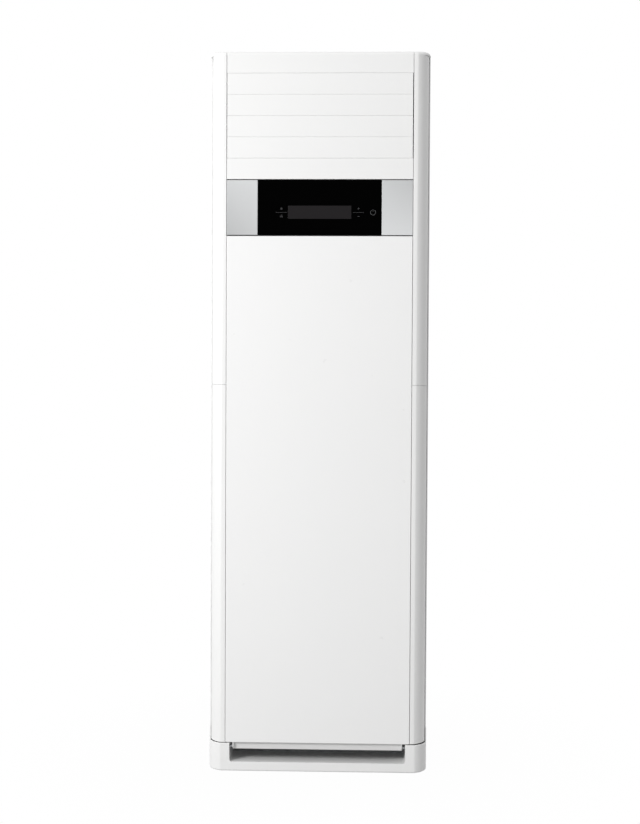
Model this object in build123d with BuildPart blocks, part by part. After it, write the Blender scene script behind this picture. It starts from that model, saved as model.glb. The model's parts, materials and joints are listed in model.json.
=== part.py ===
from build123d import *
import math
import os

os.makedirs("parts", exist_ok=True)

# Floor standing air conditioner, in millimetres. +Z is up, the front faces -Y,
# and the origin is under the middle of the plinth.

# Overall size
overall_width = 558
overall_height = 1824
overall_depth = 418

# Shell mouldings
shell_wall = 2.5
plinth_lip = 1.0
rim_step = 3.0
corner_radius = 48.0
crease_angle = 22
strip_width = 9.6
rear_corner_radius = 12
crown_radius = 8
seam = 1.0
jamb_depth = 36
tongue_depth = 14
cover_height = 28
column_split = 985.5
snap_width = 3.5
snap_height = 4
snap_inset = 11
flange_width = 42

# Back panels
back_split_rise = 15
back_margin = 2
channel_height = 24
channel_depth = 5
channel_inset = 20
wall_fixing_span = 300
wall_fixing_drop = 30
wall_fixing_radius = 4.25

# Plinth
base_height = 71.5
base_wall = 3
base_round = 4
lip_chamfer = 1.2
riser_height = 104
sill_height = 24
pocket_margin = 55
pocket_depth = 108
pocket_radius = 7
pocket_wall = 5
anchor_diameter = 12
anchor_span = 430
anchor_reach = 200
anchor_rear_margin = 49

# Sheet steel
sheet = 1.2
pan_height = 40
pan_clearance = 3
deck_height = 985
deck_flange = 18

# Outlet
slat_count = 4
slat_pitch = 53.15
slat_gap = 0.4
slat_thickness = 8
slat_edge = 0.8
slat_lip = 2.2
slat_lip_wall = 1.2
top_band = 52.5
lower_band = 52.4
slat_pin_radius = 3
bore_sides = 8
lip_height = 8
outlet_depth = 84
frame_flange = 7
arm_length = 34
arm_angle = 60
arm_width = 7.2
arm_thickness = 3
arm_inset = 16
peg_radius = 2
running_fit = 0.06
side_gap = 0.3
motor_setback = 20.5
step_motor_length = 17
step_motor_radius = 10
step_motor_ears = 34

# Air duct
duct_liner = 12
duct_radius = 150
duct_rear_gap = 8

# Upright vanes
vane_count = 6
vane_pitch = 70
vane_chord = 44
vane_thickness = 2.5
vane_gap = 3
vane_arm = 18
vane_setback = 54
vane_notch = 8
vane_peg_radius = 1.5
link_width = 7

# Control strip
control_height = 139.1
strip_gap = 2.5
glass_width = 312
glass_thickness = 3.5
glass_gap = 0.4
window_width = 159
window_height = 33
window_drop = 82
window_gap = 0.1
housing_margin = 2
housing_rib = 3
well_depth = 14
well_margin = 12

# Front panel
panel_thickness = 12
panel_skin = 3
panel_gap = 2
panel_chamfer = 0.8
rail_margin = 10.5
rail_setback = 9
rail_thickness = 6
rail_height = 13.8
rail_lug = 8
hinge_drop = 8.5
hinge_setback = 5
hinge_pin_radius = 2.5
foam_thickness = 6

# Side intake
grille_bottom = 110
grille_bays = 6
bay_pitch = 126.6
bay_slots = 6
bay_rib = 10
slot_height = 10
slot_margin = 12
grille_front_margin = 73
grille_rear_margin = 63
grille_proud = 0.8
grille_plate = 3
grille_rim = 7
grille_pin_radius = 1.6
grille_pin_length = 5
filter_thickness = 4.5
filter_gap = 0.5
filter_frame = 8
filter_screen = 0.6
grip_bottom = 876
grip_height = 86
grip_length = 96
grip_depth = 26
grip_radius = 22

# Blower
fan_height = 480
fan_width = 140
fan_inset = 12
blade_count = 28
blade_depth = 30
blade_thickness = 1.6
blade_sweep = 7
disc_thickness = 3
ring_thickness = 4
hub_radius = 26
scroll_side_gap = 30.5
scroll_tongue_gap = 20
scroll_growth = 20
scroll_setback = 112
scroll_width = 170
scroll_wall = 2.5
scroll_flange = 10
inlet_margin = 15
bell_flange = 18
bell_wall = 1.6
bell_gap = 3
shaft_radius = 6
shaft_nose = 32
motor_radius = 68
motor_rear_gap = 12
motor_chamfer = 12
bracket_thickness = 3
bracket_margin = 30
vent_size = 20

# Coil
coil_thickness = 66
coil_side_margin = 50.5
coil_foot_setback = 63.5
coil_rear_gap = 41
coil_headroom = 115
coil_bends = 3
bend_radius = 12
bend_offset = 14
bend_leg = 8
tube_radius = 5
tube_sides = 6
pipe_offset = 24
end_sheet = 1.5

# Drain and pipes
drain_pan_wall = 2
drain_pan_setback = 24
drain_pan_depth = 100
drain_pan_height = 30
drain_pan_side = 13.5
drain_pan_radius = 8
spout_radius = 8
spout_wall = 1.5
spout_length = 20
drain_inset = 47
drain_exit_z = 150
hose_bend = 60
pipe_sides = 8
pipe_side_gap = 16
suction_radius = 9.5
liquid_radius = 4.8
union_setback = 18
union_inset = 50
union_spacing = 28
union_z = 225
liquid_union_z = 202
union_ratio = 1.25
union_length = 14
nut_ratio = 1.7
line_hole_radius = 40
pipe_hole_gap = 3

# Electrical box
box_setback = 12
box_height = 285
box_side_gap = 15
box_wall_gap = 12
cover_overlap = 4
board_thickness = 1.6
board_margin = 20
component_height = 26

# Places worked out from those sizes
base_half = overall_width / 2
shell_half = base_half - plinth_lip
column_half = shell_half - rim_step
base_front = -overall_depth / 2
face_y = base_front + plinth_lip
base_rear = overall_depth / 2
shell_rear = base_rear - plinth_lip
corner_x = column_half - corner_radius
corner_depth = corner_radius * math.cos(math.radians(crease_angle))
crease_x = corner_x + corner_radius * math.sin(math.radians(crease_angle))
arc_end_y = face_y + corner_depth
seam_half = crease_x - strip_width
trim_half = seam_half - seam
tongue_y = arc_end_y + tongue_depth
tongue_x = column_half - rim_step
rim_y = arc_end_y + 1.5
jamb_y = face_y + jamb_depth
shell_inner = shell_half - shell_wall
rear_inner = shell_rear - shell_wall
flange_x = shell_half - flange_width
front_top = overall_height - rim_step
cover_bottom = overall_height - cover_height
anchor_y = base_rear - anchor_rear_margin - anchor_reach / 2
back_split = deck_height + back_split_rise

outlet_top = front_top - top_band
outlet_bottom = outlet_top - slat_count * slat_pitch - slat_gap
control_top = outlet_bottom - lower_band - seam
control_bottom = control_top - control_height
panel_top = control_bottom - strip_gap
panel_bottom = base_height + panel_gap

pocket_half = base_half - pocket_margin
pocket_rear = base_front + pocket_depth
hinge_y = face_y + hinge_setback
hinge_z = base_height - hinge_drop

slat_y = face_y + slat_thickness / 2
slat_height = slat_pitch - slat_gap
slat_levels = [outlet_top - slat_gap / 2 - slat_pitch * (n + 0.5) for n in range(slat_count)]
peg_dy = arm_length * math.cos(math.radians(arm_angle))
peg_dz = -arm_length * math.sin(math.radians(arm_angle))
arm_x = trim_half - arm_inset
link_x = arm_x + arm_thickness + side_gap
drive_x = link_x + arm_thickness + side_gap
motor_y = slat_y + motor_setback
motor_z = (slat_levels[1] + slat_levels[2]) / 2
shelf_top = outlet_top + lip_height
shelf_bottom = outlet_bottom - lip_height

vane_y = slat_y + vane_setback
vane_xs = [vane_pitch * (n - (vane_count - 1) / 2) for n in range(vane_count)]
vane_low = shelf_bottom + vane_gap
vane_high = shelf_top - vane_gap
vane_peg_y = vane_y + vane_arm

grille_height = grille_bays * bay_pitch
grille_top = grille_bottom + grille_height
grille_front = face_y + grille_front_margin
grille_rear = shell_rear - grille_rear_margin
grille_x = shell_half + grille_proud - grille_plate
grille_pin_x = shell_half - grille_plate + 0.2
grille_pin_z = grille_bottom + shell_wall
grip_front = tongue_y + 0.5 + shell_wall
grip_y = grip_front + grip_length / 2
grip_z = grip_bottom + grip_height / 2

scroll_start = shell_inner - scroll_side_gap - 3 * scroll_growth
scroll_front = jamb_y + scroll_setback
scroll_rear = scroll_front + scroll_width
throat_left = -3 * scroll_growth - scroll_start
fan_radius = scroll_start - scroll_tongue_gap
inlet_radius = fan_radius - inlet_margin
motor_front = scroll_rear + bracket_thickness
motor_length = shell_rear - channel_depth - motor_rear_gap - motor_front
shaft_end = motor_front + 0.7 * motor_length

drain_pan_front = jamb_y + drain_pan_setback
drain_pan_half = shell_inner - drain_pan_side
coil_width = 2 * (shell_inner - coil_side_margin)
coil_low = (drain_pan_front + coil_foot_setback, deck_height + sheet + drain_pan_wall)
coil_high = (rear_inner - coil_rear_gap, control_top - coil_headroom)
coil_lean = math.atan2(coil_high[0] - coil_low[0], coil_high[1] - coil_low[1])
coil_length = math.hypot(coil_high[0] - coil_low[0], coil_high[1] - coil_low[1])
coil_y = (coil_low[0] + coil_high[0]) / 2 - coil_thickness / 2 * math.cos(coil_lean)
coil_z = (coil_low[1] + coil_high[1]) / 2 + coil_thickness / 2 * math.sin(coil_lean)
bend_pitch = coil_length / (coil_bends + 0.5)

pipe_x = shell_inner - pipe_side_gap - suction_radius
suction_y = coil_y + pipe_offset * math.cos(coil_lean)
suction_level = coil_z - pipe_offset * math.sin(coil_lean)
liquid_y = suction_y + bend_pitch * math.sin(coil_lean)
liquid_level = suction_level + bend_pitch * math.cos(coil_lean)
union_x = pipe_x - union_inset
liquid_union_x = union_x - union_spacing
union_y = rear_inner - union_setback
box_front = jamb_y + box_setback
box_rear = scroll_front - scroll_flange
drain_x = drain_pan_half - drain_inset
drain_y = box_rear + spout_radius + spout_wall + 4.5


def save(part, name):
    """Label a finished piece and write its file."""
    part.label = name
    export_step(part, "parts/" + name + ".step")


def span(x0, x1, y0, y1, mode=Mode.ADD):
    """Rectangle between two pairs of edges, in the sketch being drawn."""
    with Locations(((x0 + x1) / 2, (y0 + y1) / 2)):
        Rectangle(x1 - x0, y1 - y0, mode=mode)


def pin(x, y, radius):
    """Round section of a small pin, in the sketch being drawn."""
    with Locations((x, y)):
        Circle(radius)


def bore(x, y, radius, mode=Mode.SUBTRACT):
    """Bore of flats that touch a pin's circle with the running fit between them."""
    with Locations((x, y)):
        RegularPolygon(radius + running_fit, bore_sides, major_radius=False, mode=mode)


def mirrored(part):
    """The same piece for the left side of the cabinet."""
    with BuildPart() as other:
        mirror(part, about=Plane.YZ)
    return other.part


def cabinet_plan(half, front, rear, corner):
    """Plan with a flat front, creased round front corners and small rear corners."""
    with BuildSketch() as plan:
        with BuildLine():
            Line((0, front), (crease_x, front))
            TangentArc((half, arc_end_y), (crease_x, front), tangent=(0, -1))
            Line((half, arc_end_y), (half, rear - corner))
            TangentArc((half, rear - corner), (half - corner, rear), tangent=(0, 1))
            Line((half - corner, rear), (0, rear))
            mirror(about=Plane.YZ)
        make_face()
    return plan.sketch


# Plinth and floor pan

def make_base_tray():
    """Moulded plinth with the toe pocket, its low sill and the raised sides."""
    plan = cabinet_plan(base_half, base_front, base_rear, rear_corner_radius)
    inner = cabinet_plan(base_half - base_wall, base_front + base_wall, base_rear - base_wall,
                         rear_corner_radius - base_wall)
    with BuildPart() as tray:
        with BuildSketch():
            add(plan)
        extrude(amount=base_height)
        fillet(tray.edges().group_by(Axis.Z)[0].filter_by(lambda e: e.center().Y < rim_y), radius=base_round)
        chamfer(tray.faces().sort_by(Axis.Z)[-1].edges().sort_by(Axis.Y)[:3], length=lip_chamfer)
        with BuildSketch(Plane.XY.offset(base_height)):
            add(plan)
            span(-overall_width, overall_width, rim_y, overall_depth, mode=Mode.INTERSECT)
        extrude(amount=riser_height - base_height)
        with BuildSketch(Plane.XY.offset(base_wall)):
            add(inner)
        extrude(amount=riser_height, mode=Mode.SUBTRACT)
        with BuildSketch(Plane.XY.offset(base_wall)):
            span(-pocket_half - pocket_wall, pocket_half + pocket_wall,
                 base_front + base_wall, pocket_rear + base_wall)
        extrude(amount=base_height - base_wall)
        with BuildSketch(Plane.XY):
            span(-pocket_half, pocket_half, base_front + 2 * base_wall, pocket_rear)
        extrude(amount=sill_height - base_wall, mode=Mode.SUBTRACT)
        with BuildSketch(Plane.XZ.offset(-base_front)) as mouth:
            span(-pocket_half, pocket_half, sill_height, base_height + pocket_radius)
            fillet(mouth.vertices().group_by(Axis.Z)[0], radius=pocket_radius)
        extrude(amount=-pocket_depth, mode=Mode.SUBTRACT)
        with Locations((0, anchor_y, base_wall)):
            with GridLocations(anchor_span, anchor_reach, 2, 2):
                Hole(radius=anchor_diameter / 2, depth=base_wall)
        with BuildSketch(Plane.YZ.offset(-pocket_half - pocket_wall)):
            bore(hinge_y, hinge_z, hinge_pin_radius, Mode.ADD)
        extrude(amount=2 * (pocket_half + pocket_wall), mode=Mode.SUBTRACT)
    save(tray.part, "base_tray")


def make_floor_pan():
    """Steel pan on the floor of the plinth, bolted down through the same holes."""
    half = base_half - base_wall - 2 * pan_clearance
    front = pocket_rear + base_wall + pan_clearance
    rear = base_rear - base_wall - pan_clearance
    with BuildPart() as pan:
        with BuildSketch(Plane.XY.offset(base_wall)) as floor:
            span(-half, half, front, rear)
            chamfer(floor.vertices(), length=rear_corner_radius)
        extrude(amount=pan_height)
        offset(amount=-sheet, openings=pan.faces().sort_by(Axis.Z)[-1])
        with Locations((0, anchor_y, base_wall + sheet)):
            with GridLocations(anchor_span, anchor_reach, 2, 2):
                Hole(radius=anchor_diameter / 2, depth=sheet)
    save(pan.part, "floor_pan")


# Front columns

def column_plan(wall, end_angle, rear):
    """Plan of a column: front strip, crease, arc round to an angle, and the tongue behind."""
    radius = corner_radius - wall
    front = face_y + wall
    side = tongue_x - wall
    start_angle = math.asin((arc_end_y - front) / radius)

    def on_arc(angle):
        return (corner_x + radius * math.cos(angle), arc_end_y - radius * math.sin(angle))

    with BuildSketch() as plan:
        with BuildLine():
            Line((seam_half + wall, front), on_arc(start_angle))
            ThreePointArc(on_arc(start_angle), on_arc((start_angle + end_angle) / 2), on_arc(end_angle))
            if end_angle == 0:
                Line(on_arc(end_angle), (side, arc_end_y))
            Polyline((side, on_arc(end_angle)[1]), (side, rear), (seam_half + wall, rear),
                     (seam_half + wall, front))
        make_face()
    return plan.sketch


def column(bottom, top, crown):
    """Hollow moulding, closed at both ends and open to the back."""
    inner_radius = corner_radius - shell_wall
    inner_angle = math.acos((tongue_x - shell_wall - corner_x) / inner_radius)
    cavity = column_plan(shell_wall, inner_angle, tongue_y + 1)
    roof = crown_radius if crown else shell_wall
    with BuildPart() as body:
        with BuildSketch(Plane.XY.offset(bottom)):
            add(column_plan(0, 0, tongue_y))
        extrude(amount=top - bottom)
        if crown:
            rim = body.faces().sort_by(Axis.Z)[-1].edges().filter_by(lambda e: e.center().Y < arc_end_y - 1)
            fillet(rim.filter_by(lambda e: e.center().X > seam_half + 1), radius=crown_radius)
        with BuildSketch(Plane.XY.offset(bottom + shell_wall)):
            add(cavity)
        extrude(amount=top - bottom - shell_wall - roof, mode=Mode.SUBTRACT)
        with BuildSketch(Plane.XY.offset(bottom + shell_wall)):
            span(seam_half, seam_half + shell_wall, jamb_y, tongue_y + 1)
        extrude(amount=top - bottom - shell_wall - roof, mode=Mode.SUBTRACT)
    return body.part


def make_lower_columns():
    """Lower columns with the row of small snap windows for the side intake."""
    window_x = column_half - snap_inset
    with BuildPart() as body:
        add(column(base_height, column_split - seam / 2, False))
        with BuildSketch(Plane.XZ.offset(-arc_end_y)):
            for bay in range(grille_bays):
                with Locations((window_x, grille_bottom + bay * bay_pitch)):
                    Rectangle(snap_width, snap_height)
        extrude(amount=corner_radius, mode=Mode.SUBTRACT)
    save(body.part, "column_lower_right")
    save(mirrored(body.part), "column_lower_left")


def make_upper_columns():
    """Upper columns with the bores that carry the slats."""
    with BuildPart() as body:
        add(column(column_split + seam / 2, front_top, True))
        with BuildSketch(Plane.YZ.offset(seam_half)):
            for level in slat_levels:
                bore(slat_y, level, slat_pin_radius, Mode.ADD)
        extrude(amount=shell_wall, mode=Mode.SUBTRACT)
    save(mirrored(body.part), "column_upper_left")
    with BuildPart() as right:
        add(body.part)
        with BuildSketch(Plane.YZ.offset(seam_half)):
            bore(motor_y, motor_z, peg_radius + 1, Mode.ADD)
        extrude(amount=shell_wall, mode=Mode.SUBTRACT)
    save(right.part, "column_upper_right")


# Side panels, back panels and top cover

def rear_corner(x0, x1, y0, y1, radius):
    """Rectangle with only its outer rear corner rounded."""
    with BuildSketch() as block:
        span(x0, x1, y0, y1)
        fillet(block.vertices().group_by(Axis.Y)[-1].sort_by(Axis.X)[-1], radius=radius)
    return block.sketch


def make_side_panels():
    """Side wall with its rear return, intake window, grille hinge lugs and finger grip."""
    lug_reach = 7
    lug_wall = 5
    with BuildPart() as panel:
        with BuildSketch(Plane.XY.offset(riser_height)):
            add(rear_corner(flange_x, shell_half, rim_y, shell_rear, rear_corner_radius))
            add(rear_corner(flange_x - 1, shell_inner, rim_y - 1, rear_inner,
                            rear_corner_radius - shell_wall), mode=Mode.SUBTRACT)
        extrude(amount=cover_bottom - riser_height)
        with BuildSketch(Plane.YZ.offset(shell_half - grip_depth - shell_wall)):
            with Locations((grip_y, grip_z)):
                RectangleRounded(grip_length + 2 * shell_wall, grip_height + 2 * shell_wall,
                                 grip_radius + shell_wall)
        extrude(amount=grip_depth)
        with BuildSketch(Plane.YZ.offset(shell_half - grip_depth)):
            with Locations((grip_y, grip_z)):
                RectangleRounded(grip_length, grip_height, grip_radius)
        extrude(amount=grip_depth + 1, mode=Mode.SUBTRACT)
        with BuildSketch(Plane.YZ.offset(shell_inner)):
            span(rim_y - 1, grip_y, grip_bottom, grip_bottom + grip_height)
        extrude(amount=shell_wall, mode=Mode.SUBTRACT)
        with BuildSketch(Plane.YZ.offset(shell_half - 8)):
            for y0 in (grille_front - lug_reach, grille_rear + lug_reach - lug_wall):
                span(y0, y0 + lug_wall, grille_pin_z - lug_reach, grille_pin_z + lug_reach)
        extrude(amount=8 - 2)
        with BuildSketch(Plane.YZ.offset(shell_inner - 1)):
            span(grille_front - seam, grille_rear + seam, grille_bottom - 2, grille_top + seam)
        extrude(amount=shell_wall + 2, mode=Mode.SUBTRACT)
        with BuildSketch(Plane.XZ.offset(-grille_rear - lug_reach)):
            bore(grille_pin_x, grille_pin_z, grille_pin_radius, Mode.ADD)
        extrude(amount=grille_rear - grille_front + 2 * lug_reach, mode=Mode.SUBTRACT)
    save(panel.part, "side_panel_right")
    save(mirrored(panel.part), "side_panel_left")


def make_top_cover():
    """Cap over the side and back panels, its front rim a step above the front mouldings."""
    with BuildPart() as cover:
        with BuildSketch(Plane.XY.offset(cover_bottom)) as plan:
            span(-shell_half, shell_half, rim_y, shell_rear)
            fillet(plan.vertices().group_by(Axis.Y)[-1], radius=rear_corner_radius)
        extrude(amount=cover_height)
        crown = cover.faces().sort_by(Axis.Z)[-1].edges()
        fillet(crown.filter_by(lambda e: e.center().Y > rim_y + 1), radius=crown_radius)
        with BuildSketch(Plane.XY.offset(cover_bottom)):
            span(-shell_inner, shell_inner, rim_y - 1, rear_inner)
        extrude(amount=cover_height - rim_step, mode=Mode.SUBTRACT)
    save(cover.part, "top_cover")


def back_sheet(bottom, top, levels):
    """Flat sheet between two heights, with inward stiffening channels at shares of it."""
    half = shell_half - rear_corner_radius - back_margin
    with BuildPart() as body:
        with BuildSketch(Plane.XZ.offset(-base_rear)):
            span(-half, half, bottom, top)
        extrude(amount=plinth_lip)
        with BuildSketch(Plane.XZ.offset(-shell_rear)):
            for level in levels:
                with Locations((0, bottom + (top - bottom) * level)):
                    Rectangle(2 * (flange_x - channel_inset), channel_height)
        extrude(amount=channel_depth)
    return body.part


def make_back_panels():
    """Two steel sheets over the rear flanges, with the line hole and the wall fixings."""
    with BuildPart() as lower:
        add(back_sheet(riser_height + seam, back_split, (0.35, 0.55, 0.75)))
        with BuildSketch(Plane.XZ.offset(-base_rear)):
            with Locations(((union_x + liquid_union_x) / 2, (union_z + liquid_union_z) / 2)):
                Circle(line_hole_radius)
            with Locations((drain_x, drain_exit_z)):
                Circle(spout_radius + pipe_hole_gap)
        extrude(amount=plinth_lip, mode=Mode.SUBTRACT)
    save(lower.part, "back_panel_lower")
    with BuildPart() as upper:
        add(back_sheet(back_split + seam, cover_bottom - seam, (0.25, 0.5, 0.75)))
        with BuildSketch(Plane.XZ.offset(-base_rear)):
            with Locations((0, cover_bottom - wall_fixing_drop)):
                with GridLocations(wall_fixing_span, 1, 2, 1):
                    Circle(wall_fixing_radius)
        extrude(amount=plinth_lip, mode=Mode.SUBTRACT)
    save(upper.part, "back_panel_upper")


# Side intake grilles and filters

def make_grilles():
    """Hinged grille with a rim that holds the filter, slots in bays, pins at the bottom."""
    with BuildPart() as grille:
        with BuildSketch(Plane.YZ.offset(grille_x)) as plate:
            span(grille_front, grille_rear, grille_bottom, grille_top)
        extrude(amount=grille_plate)
        with BuildSketch(Plane.YZ.offset(grille_x - grille_rim)):
            span(grille_front, grille_rear, grille_bottom, grille_top)
            span(grille_front + shell_wall, grille_rear - shell_wall,
                 grille_bottom + shell_wall, grille_top - shell_wall, mode=Mode.SUBTRACT)
        extrude(amount=grille_rim)
        slot_pitch = (bay_pitch - bay_rib) / bay_slots
        with BuildSketch(Plane.YZ.offset(grille_x)):
            for bay in range(grille_bays):
                low = grille_bottom + bay * bay_pitch + bay_rib / 2 + slot_pitch / 2
                for slot in range(bay_slots):
                    with Locations(((grille_front + grille_rear) / 2, low + slot * slot_pitch)):
                        Rectangle(grille_rear - grille_front - 2 * slot_margin, slot_height)
        extrude(amount=grille_plate, mode=Mode.SUBTRACT)
        for y0 in (grille_front - grille_pin_length, grille_rear):
            with BuildSketch(Plane.XZ.offset(-y0)):
                pin(grille_pin_x, grille_pin_z, grille_pin_radius)
            extrude(amount=-grille_pin_length)
    save(grille.part, "intake_grille_right")
    save(mirrored(grille.part), "intake_grille_left")


def make_filters():
    """Mesh filter: a frame with cross ribs and a thin screen."""
    rim = shell_wall + filter_gap
    width = grille_rear - grille_front - 2 * rim
    height = grille_top - grille_bottom - 2 * rim
    pitch = (height - filter_frame) / grille_bays
    centre = ((grille_front + grille_rear) / 2, (grille_bottom + grille_top) / 2)
    with BuildPart() as screen:
        with BuildSketch(Plane.YZ.offset(grille_x - filter_thickness)):
            with Locations(centre):
                Rectangle(width, height)
                with GridLocations((width - filter_frame) / 2, pitch, 2, grille_bays):
                    Rectangle((width - 3 * filter_frame) / 2, pitch - filter_frame, mode=Mode.SUBTRACT)
        extrude(amount=filter_thickness)
        with BuildSketch(Plane.YZ.offset(grille_x - filter_thickness / 2)):
            with Locations(centre):
                Rectangle(width - filter_frame, height - filter_frame)
        extrude(amount=filter_screen)
    save(screen.part, "filter_right")
    save(mirrored(screen.part), "filter_left")


# Outlet: frame, duct, slats and their drive

def make_outlet_frame():
    """Fixed top and bottom bands with the shelves that carry the upright vanes."""
    rear = face_y + outlet_depth
    ear_x = seam_half + frame_flange
    with BuildPart() as frame:
        with BuildSketch(Plane.YZ.offset(-trim_half)):
            span(face_y, face_y + base_wall, outlet_top, front_top)
            span(face_y, arc_end_y, front_top - base_wall, front_top)
            span(face_y, rear, shelf_top, shelf_top + base_wall)
            span(face_y, face_y + base_wall, control_top + seam, outlet_bottom)
            span(face_y, rear, shelf_bottom - base_wall, shelf_bottom)
            span(face_y, jamb_y, control_top + seam, control_top + seam + base_wall)
        extrude(amount=2 * trim_half)
        lip = frame.edges().filter_by(Axis.X).filter_by(lambda e: abs(e.center().Y - face_y) < 0.01)
        fillet(lip.sort_by(Axis.Z)[-1], radius=crown_radius)
        with BuildSketch(Plane.XZ.offset(-jamb_y)):
            span(-ear_x, ear_x, control_top + seam, front_top - crown_radius)
            span(-trim_half + base_wall, trim_half - base_wall, shelf_bottom, shelf_top, mode=Mode.SUBTRACT)
        extrude(amount=-base_wall)
        with BuildSketch(Plane.XY.offset(shelf_bottom)):
            for x0 in (-trim_half, trim_half - base_wall):
                span(x0, x0 + base_wall, jamb_y, rear)
        extrude(amount=shelf_top - shelf_bottom)
        with BuildSketch(Plane.XY.offset(shelf_bottom - base_wall)):
            for x in vane_xs:
                bore(x, vane_y, peg_radius, Mode.ADD)
        extrude(amount=shelf_top - shelf_bottom + 2 * base_wall, mode=Mode.SUBTRACT)
    save(frame.part, "outlet_frame")


def make_air_duct():
    """Foam liner that turns the air from the coil forward to the outlet."""
    front = face_y + outlet_depth
    liner = duct_liner
    back = rear_inner - duct_rear_gap
    low = control_top
    high = shelf_top + base_wall
    radius = duct_radius
    with BuildPart() as duct:
        with BuildSketch(Plane.YZ.offset(-trim_half)) as profile:
            with BuildLine():
                Line((front, high), (back - radius, high))
                TangentArc((back - radius, high), (back, high - radius), tangent=(1, 0))
                Polyline((back, high - radius), (back, low), (back - liner, low),
                         (back - liner, high - radius))
                TangentArc((back - liner, high - radius), (back - radius, high - liner), tangent=(0, 1))
                Polyline((back - radius, high - liner), (front, high - liner), (front, high))
            make_face()
        extrude(amount=2 * trim_half)
        with BuildSketch(Plane.YZ.offset(-trim_half)):
            with BuildLine():
                Line((front, high - 1), (back - radius, high - 1))
                TangentArc((back - radius, high - 1), (back - 1, high - radius), tangent=(1, 0))
                Polyline((back - 1, high - radius), (back - 1, low), (front, low), (front, high - 1))
            make_face()
        extrude(amount=liner)
        mirror(duct.part, about=Plane.YZ)
    save(duct.part, "air_duct")


def make_louvers():
    """Slats with a lapping lip, end pins and a rear arm whose peg carries the link bar."""
    pin_out = seam_half + shell_wall - 0.2
    half = slat_height / 2
    spine = face_y + slat_thickness
    for number, level in enumerate(slat_levels, start=1):
        with BuildPart() as slat:
            with BuildSketch(Plane.YZ.offset(-trim_half)) as section:
                with BuildLine():
                    Line((face_y, level - half), (face_y, level + half))
                    Line((face_y, level + half), (face_y + base_wall, level + half))
                    ThreePointArc((face_y + base_wall, level + half), (spine, level),
                                  (face_y + base_wall, level - half))
                    Line((face_y + base_wall, level - half), (face_y, level - half))
                make_face()
                chamfer(section.vertices().group_by(Axis.Y)[0], length=slat_edge)
            extrude(amount=2 * trim_half)
            with BuildSketch(Plane.YZ.offset(-trim_half)):
                span(face_y + base_wall + slat_lip_wall, face_y + base_wall + 2 * slat_lip_wall,
                     level - half - slat_lip, level - half + 3 * slat_lip)
            extrude(amount=trim_half + arm_x - arm_thickness)
            with BuildSketch(Plane.YZ.offset(-pin_out)):
                pin(slat_y, level, slat_pin_radius)
            extrude(amount=2 * pin_out)
            with BuildSketch(Plane.YZ.offset(arm_x)):
                lever(slat_y, level)
            extrude(amount=arm_thickness)
            with BuildSketch(Plane.YZ.offset(arm_x)):
                pin(slat_y + peg_dy, level + peg_dz, peg_radius)
            extrude(amount=2 * arm_thickness + side_gap)
        save(slat.part, "louver_" + str(number))


def lever(y, z):
    """Round-ended lever from a pivot to its peg, in the sketch being drawn."""
    with Locations((y + peg_dy / 2, z + peg_dz / 2)):
        SlotCenterToCenter(arm_length, arm_width, rotation=-arm_angle)


def make_louver_link():
    """Upright bar on the four pegs, with a lug back to the drive arm."""
    y = slat_y + peg_dy
    top = slat_levels[0] + peg_dz
    bottom = slat_levels[-1] + peg_dz
    lug_y = motor_y + peg_dy
    lug_z = motor_z + peg_dz
    with BuildPart() as link:
        with BuildSketch(Plane.YZ.offset(link_x)):
            with Locations((y, (top + bottom) / 2)):
                SlotCenterToCenter(top - bottom, link_width, rotation=90)
            with Locations(((y + lug_y) / 2, lug_z)):
                SlotCenterToCenter(lug_y - y, link_width)
            for level in slat_levels:
                bore(y, level + peg_dz, peg_radius)
            bore(lug_y, lug_z, peg_radius)
        extrude(amount=arm_thickness)
    save(link.part, "louver_link")


def make_louver_drive():
    """Stepping motor inside the right column, and the drive arm on its shaft."""
    motor_face = seam_half + shell_wall
    shaft_reach = 8
    with BuildPart() as arm:
        with BuildSketch(Plane.YZ.offset(drive_x)):
            lever(motor_y, motor_z)
        extrude(amount=arm_thickness)
        with BuildSketch(Plane.YZ.offset(link_x)):
            pin(motor_y + peg_dy, motor_z + peg_dz, peg_radius)
        extrude(amount=drive_x - link_x)
        with BuildSketch(Plane.YZ.offset(drive_x)):
            pin(motor_y, motor_z, peg_radius)
        extrude(amount=motor_face + shaft_reach - drive_x)
    save(arm.part, "louver_drive_arm")
    with BuildPart() as motor:
        with BuildSketch(Plane.YZ.offset(motor_face)):
            with Locations((motor_y, motor_z)):
                Rectangle(arm_width, step_motor_ears)
        extrude(amount=sheet)
        with BuildSketch(Plane.YZ.offset(motor_face)):
            with Locations((motor_y, motor_z)):
                Circle(step_motor_radius)
        extrude(amount=step_motor_length)
        with BuildSketch(Plane.YZ.offset(motor_face)):
            bore(motor_y, motor_z, peg_radius, Mode.ADD)
        extrude(amount=shaft_reach + 1, mode=Mode.SUBTRACT)
    save(motor.part, "louver_motor")


# Upright vanes and their drive

def make_vanes():
    """Upright vanes on top and bottom pins, with a notch and peg for the link bar."""
    front = vane_y - vane_chord / 2
    rear = vane_y + vane_chord / 2
    for number, x in enumerate(vane_xs, start=1):
        with BuildPart() as vane:
            with BuildSketch(Plane.YZ.offset(x - vane_thickness / 2)) as blade:
                span(front, rear, vane_low, vane_high)
                span(vane_y + vane_notch, rear + 1, vane_low - 1, vane_low + vane_notch, mode=Mode.SUBTRACT)
                chamfer(blade.vertices().group_by(Axis.Y)[0], length=2 * vane_thickness)
            extrude(amount=vane_thickness)
            with BuildSketch(Plane.XY.offset(shelf_bottom - base_wall)):
                pin(x, vane_y, peg_radius)
            extrude(amount=shelf_top - shelf_bottom + 2 * base_wall)
            with BuildSketch(Plane.XY.offset(vane_low)):
                pin(x, vane_peg_y, vane_peg_radius)
            extrude(amount=vane_notch + 2)
        save(vane.part, "vane_" + str(number))


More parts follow.
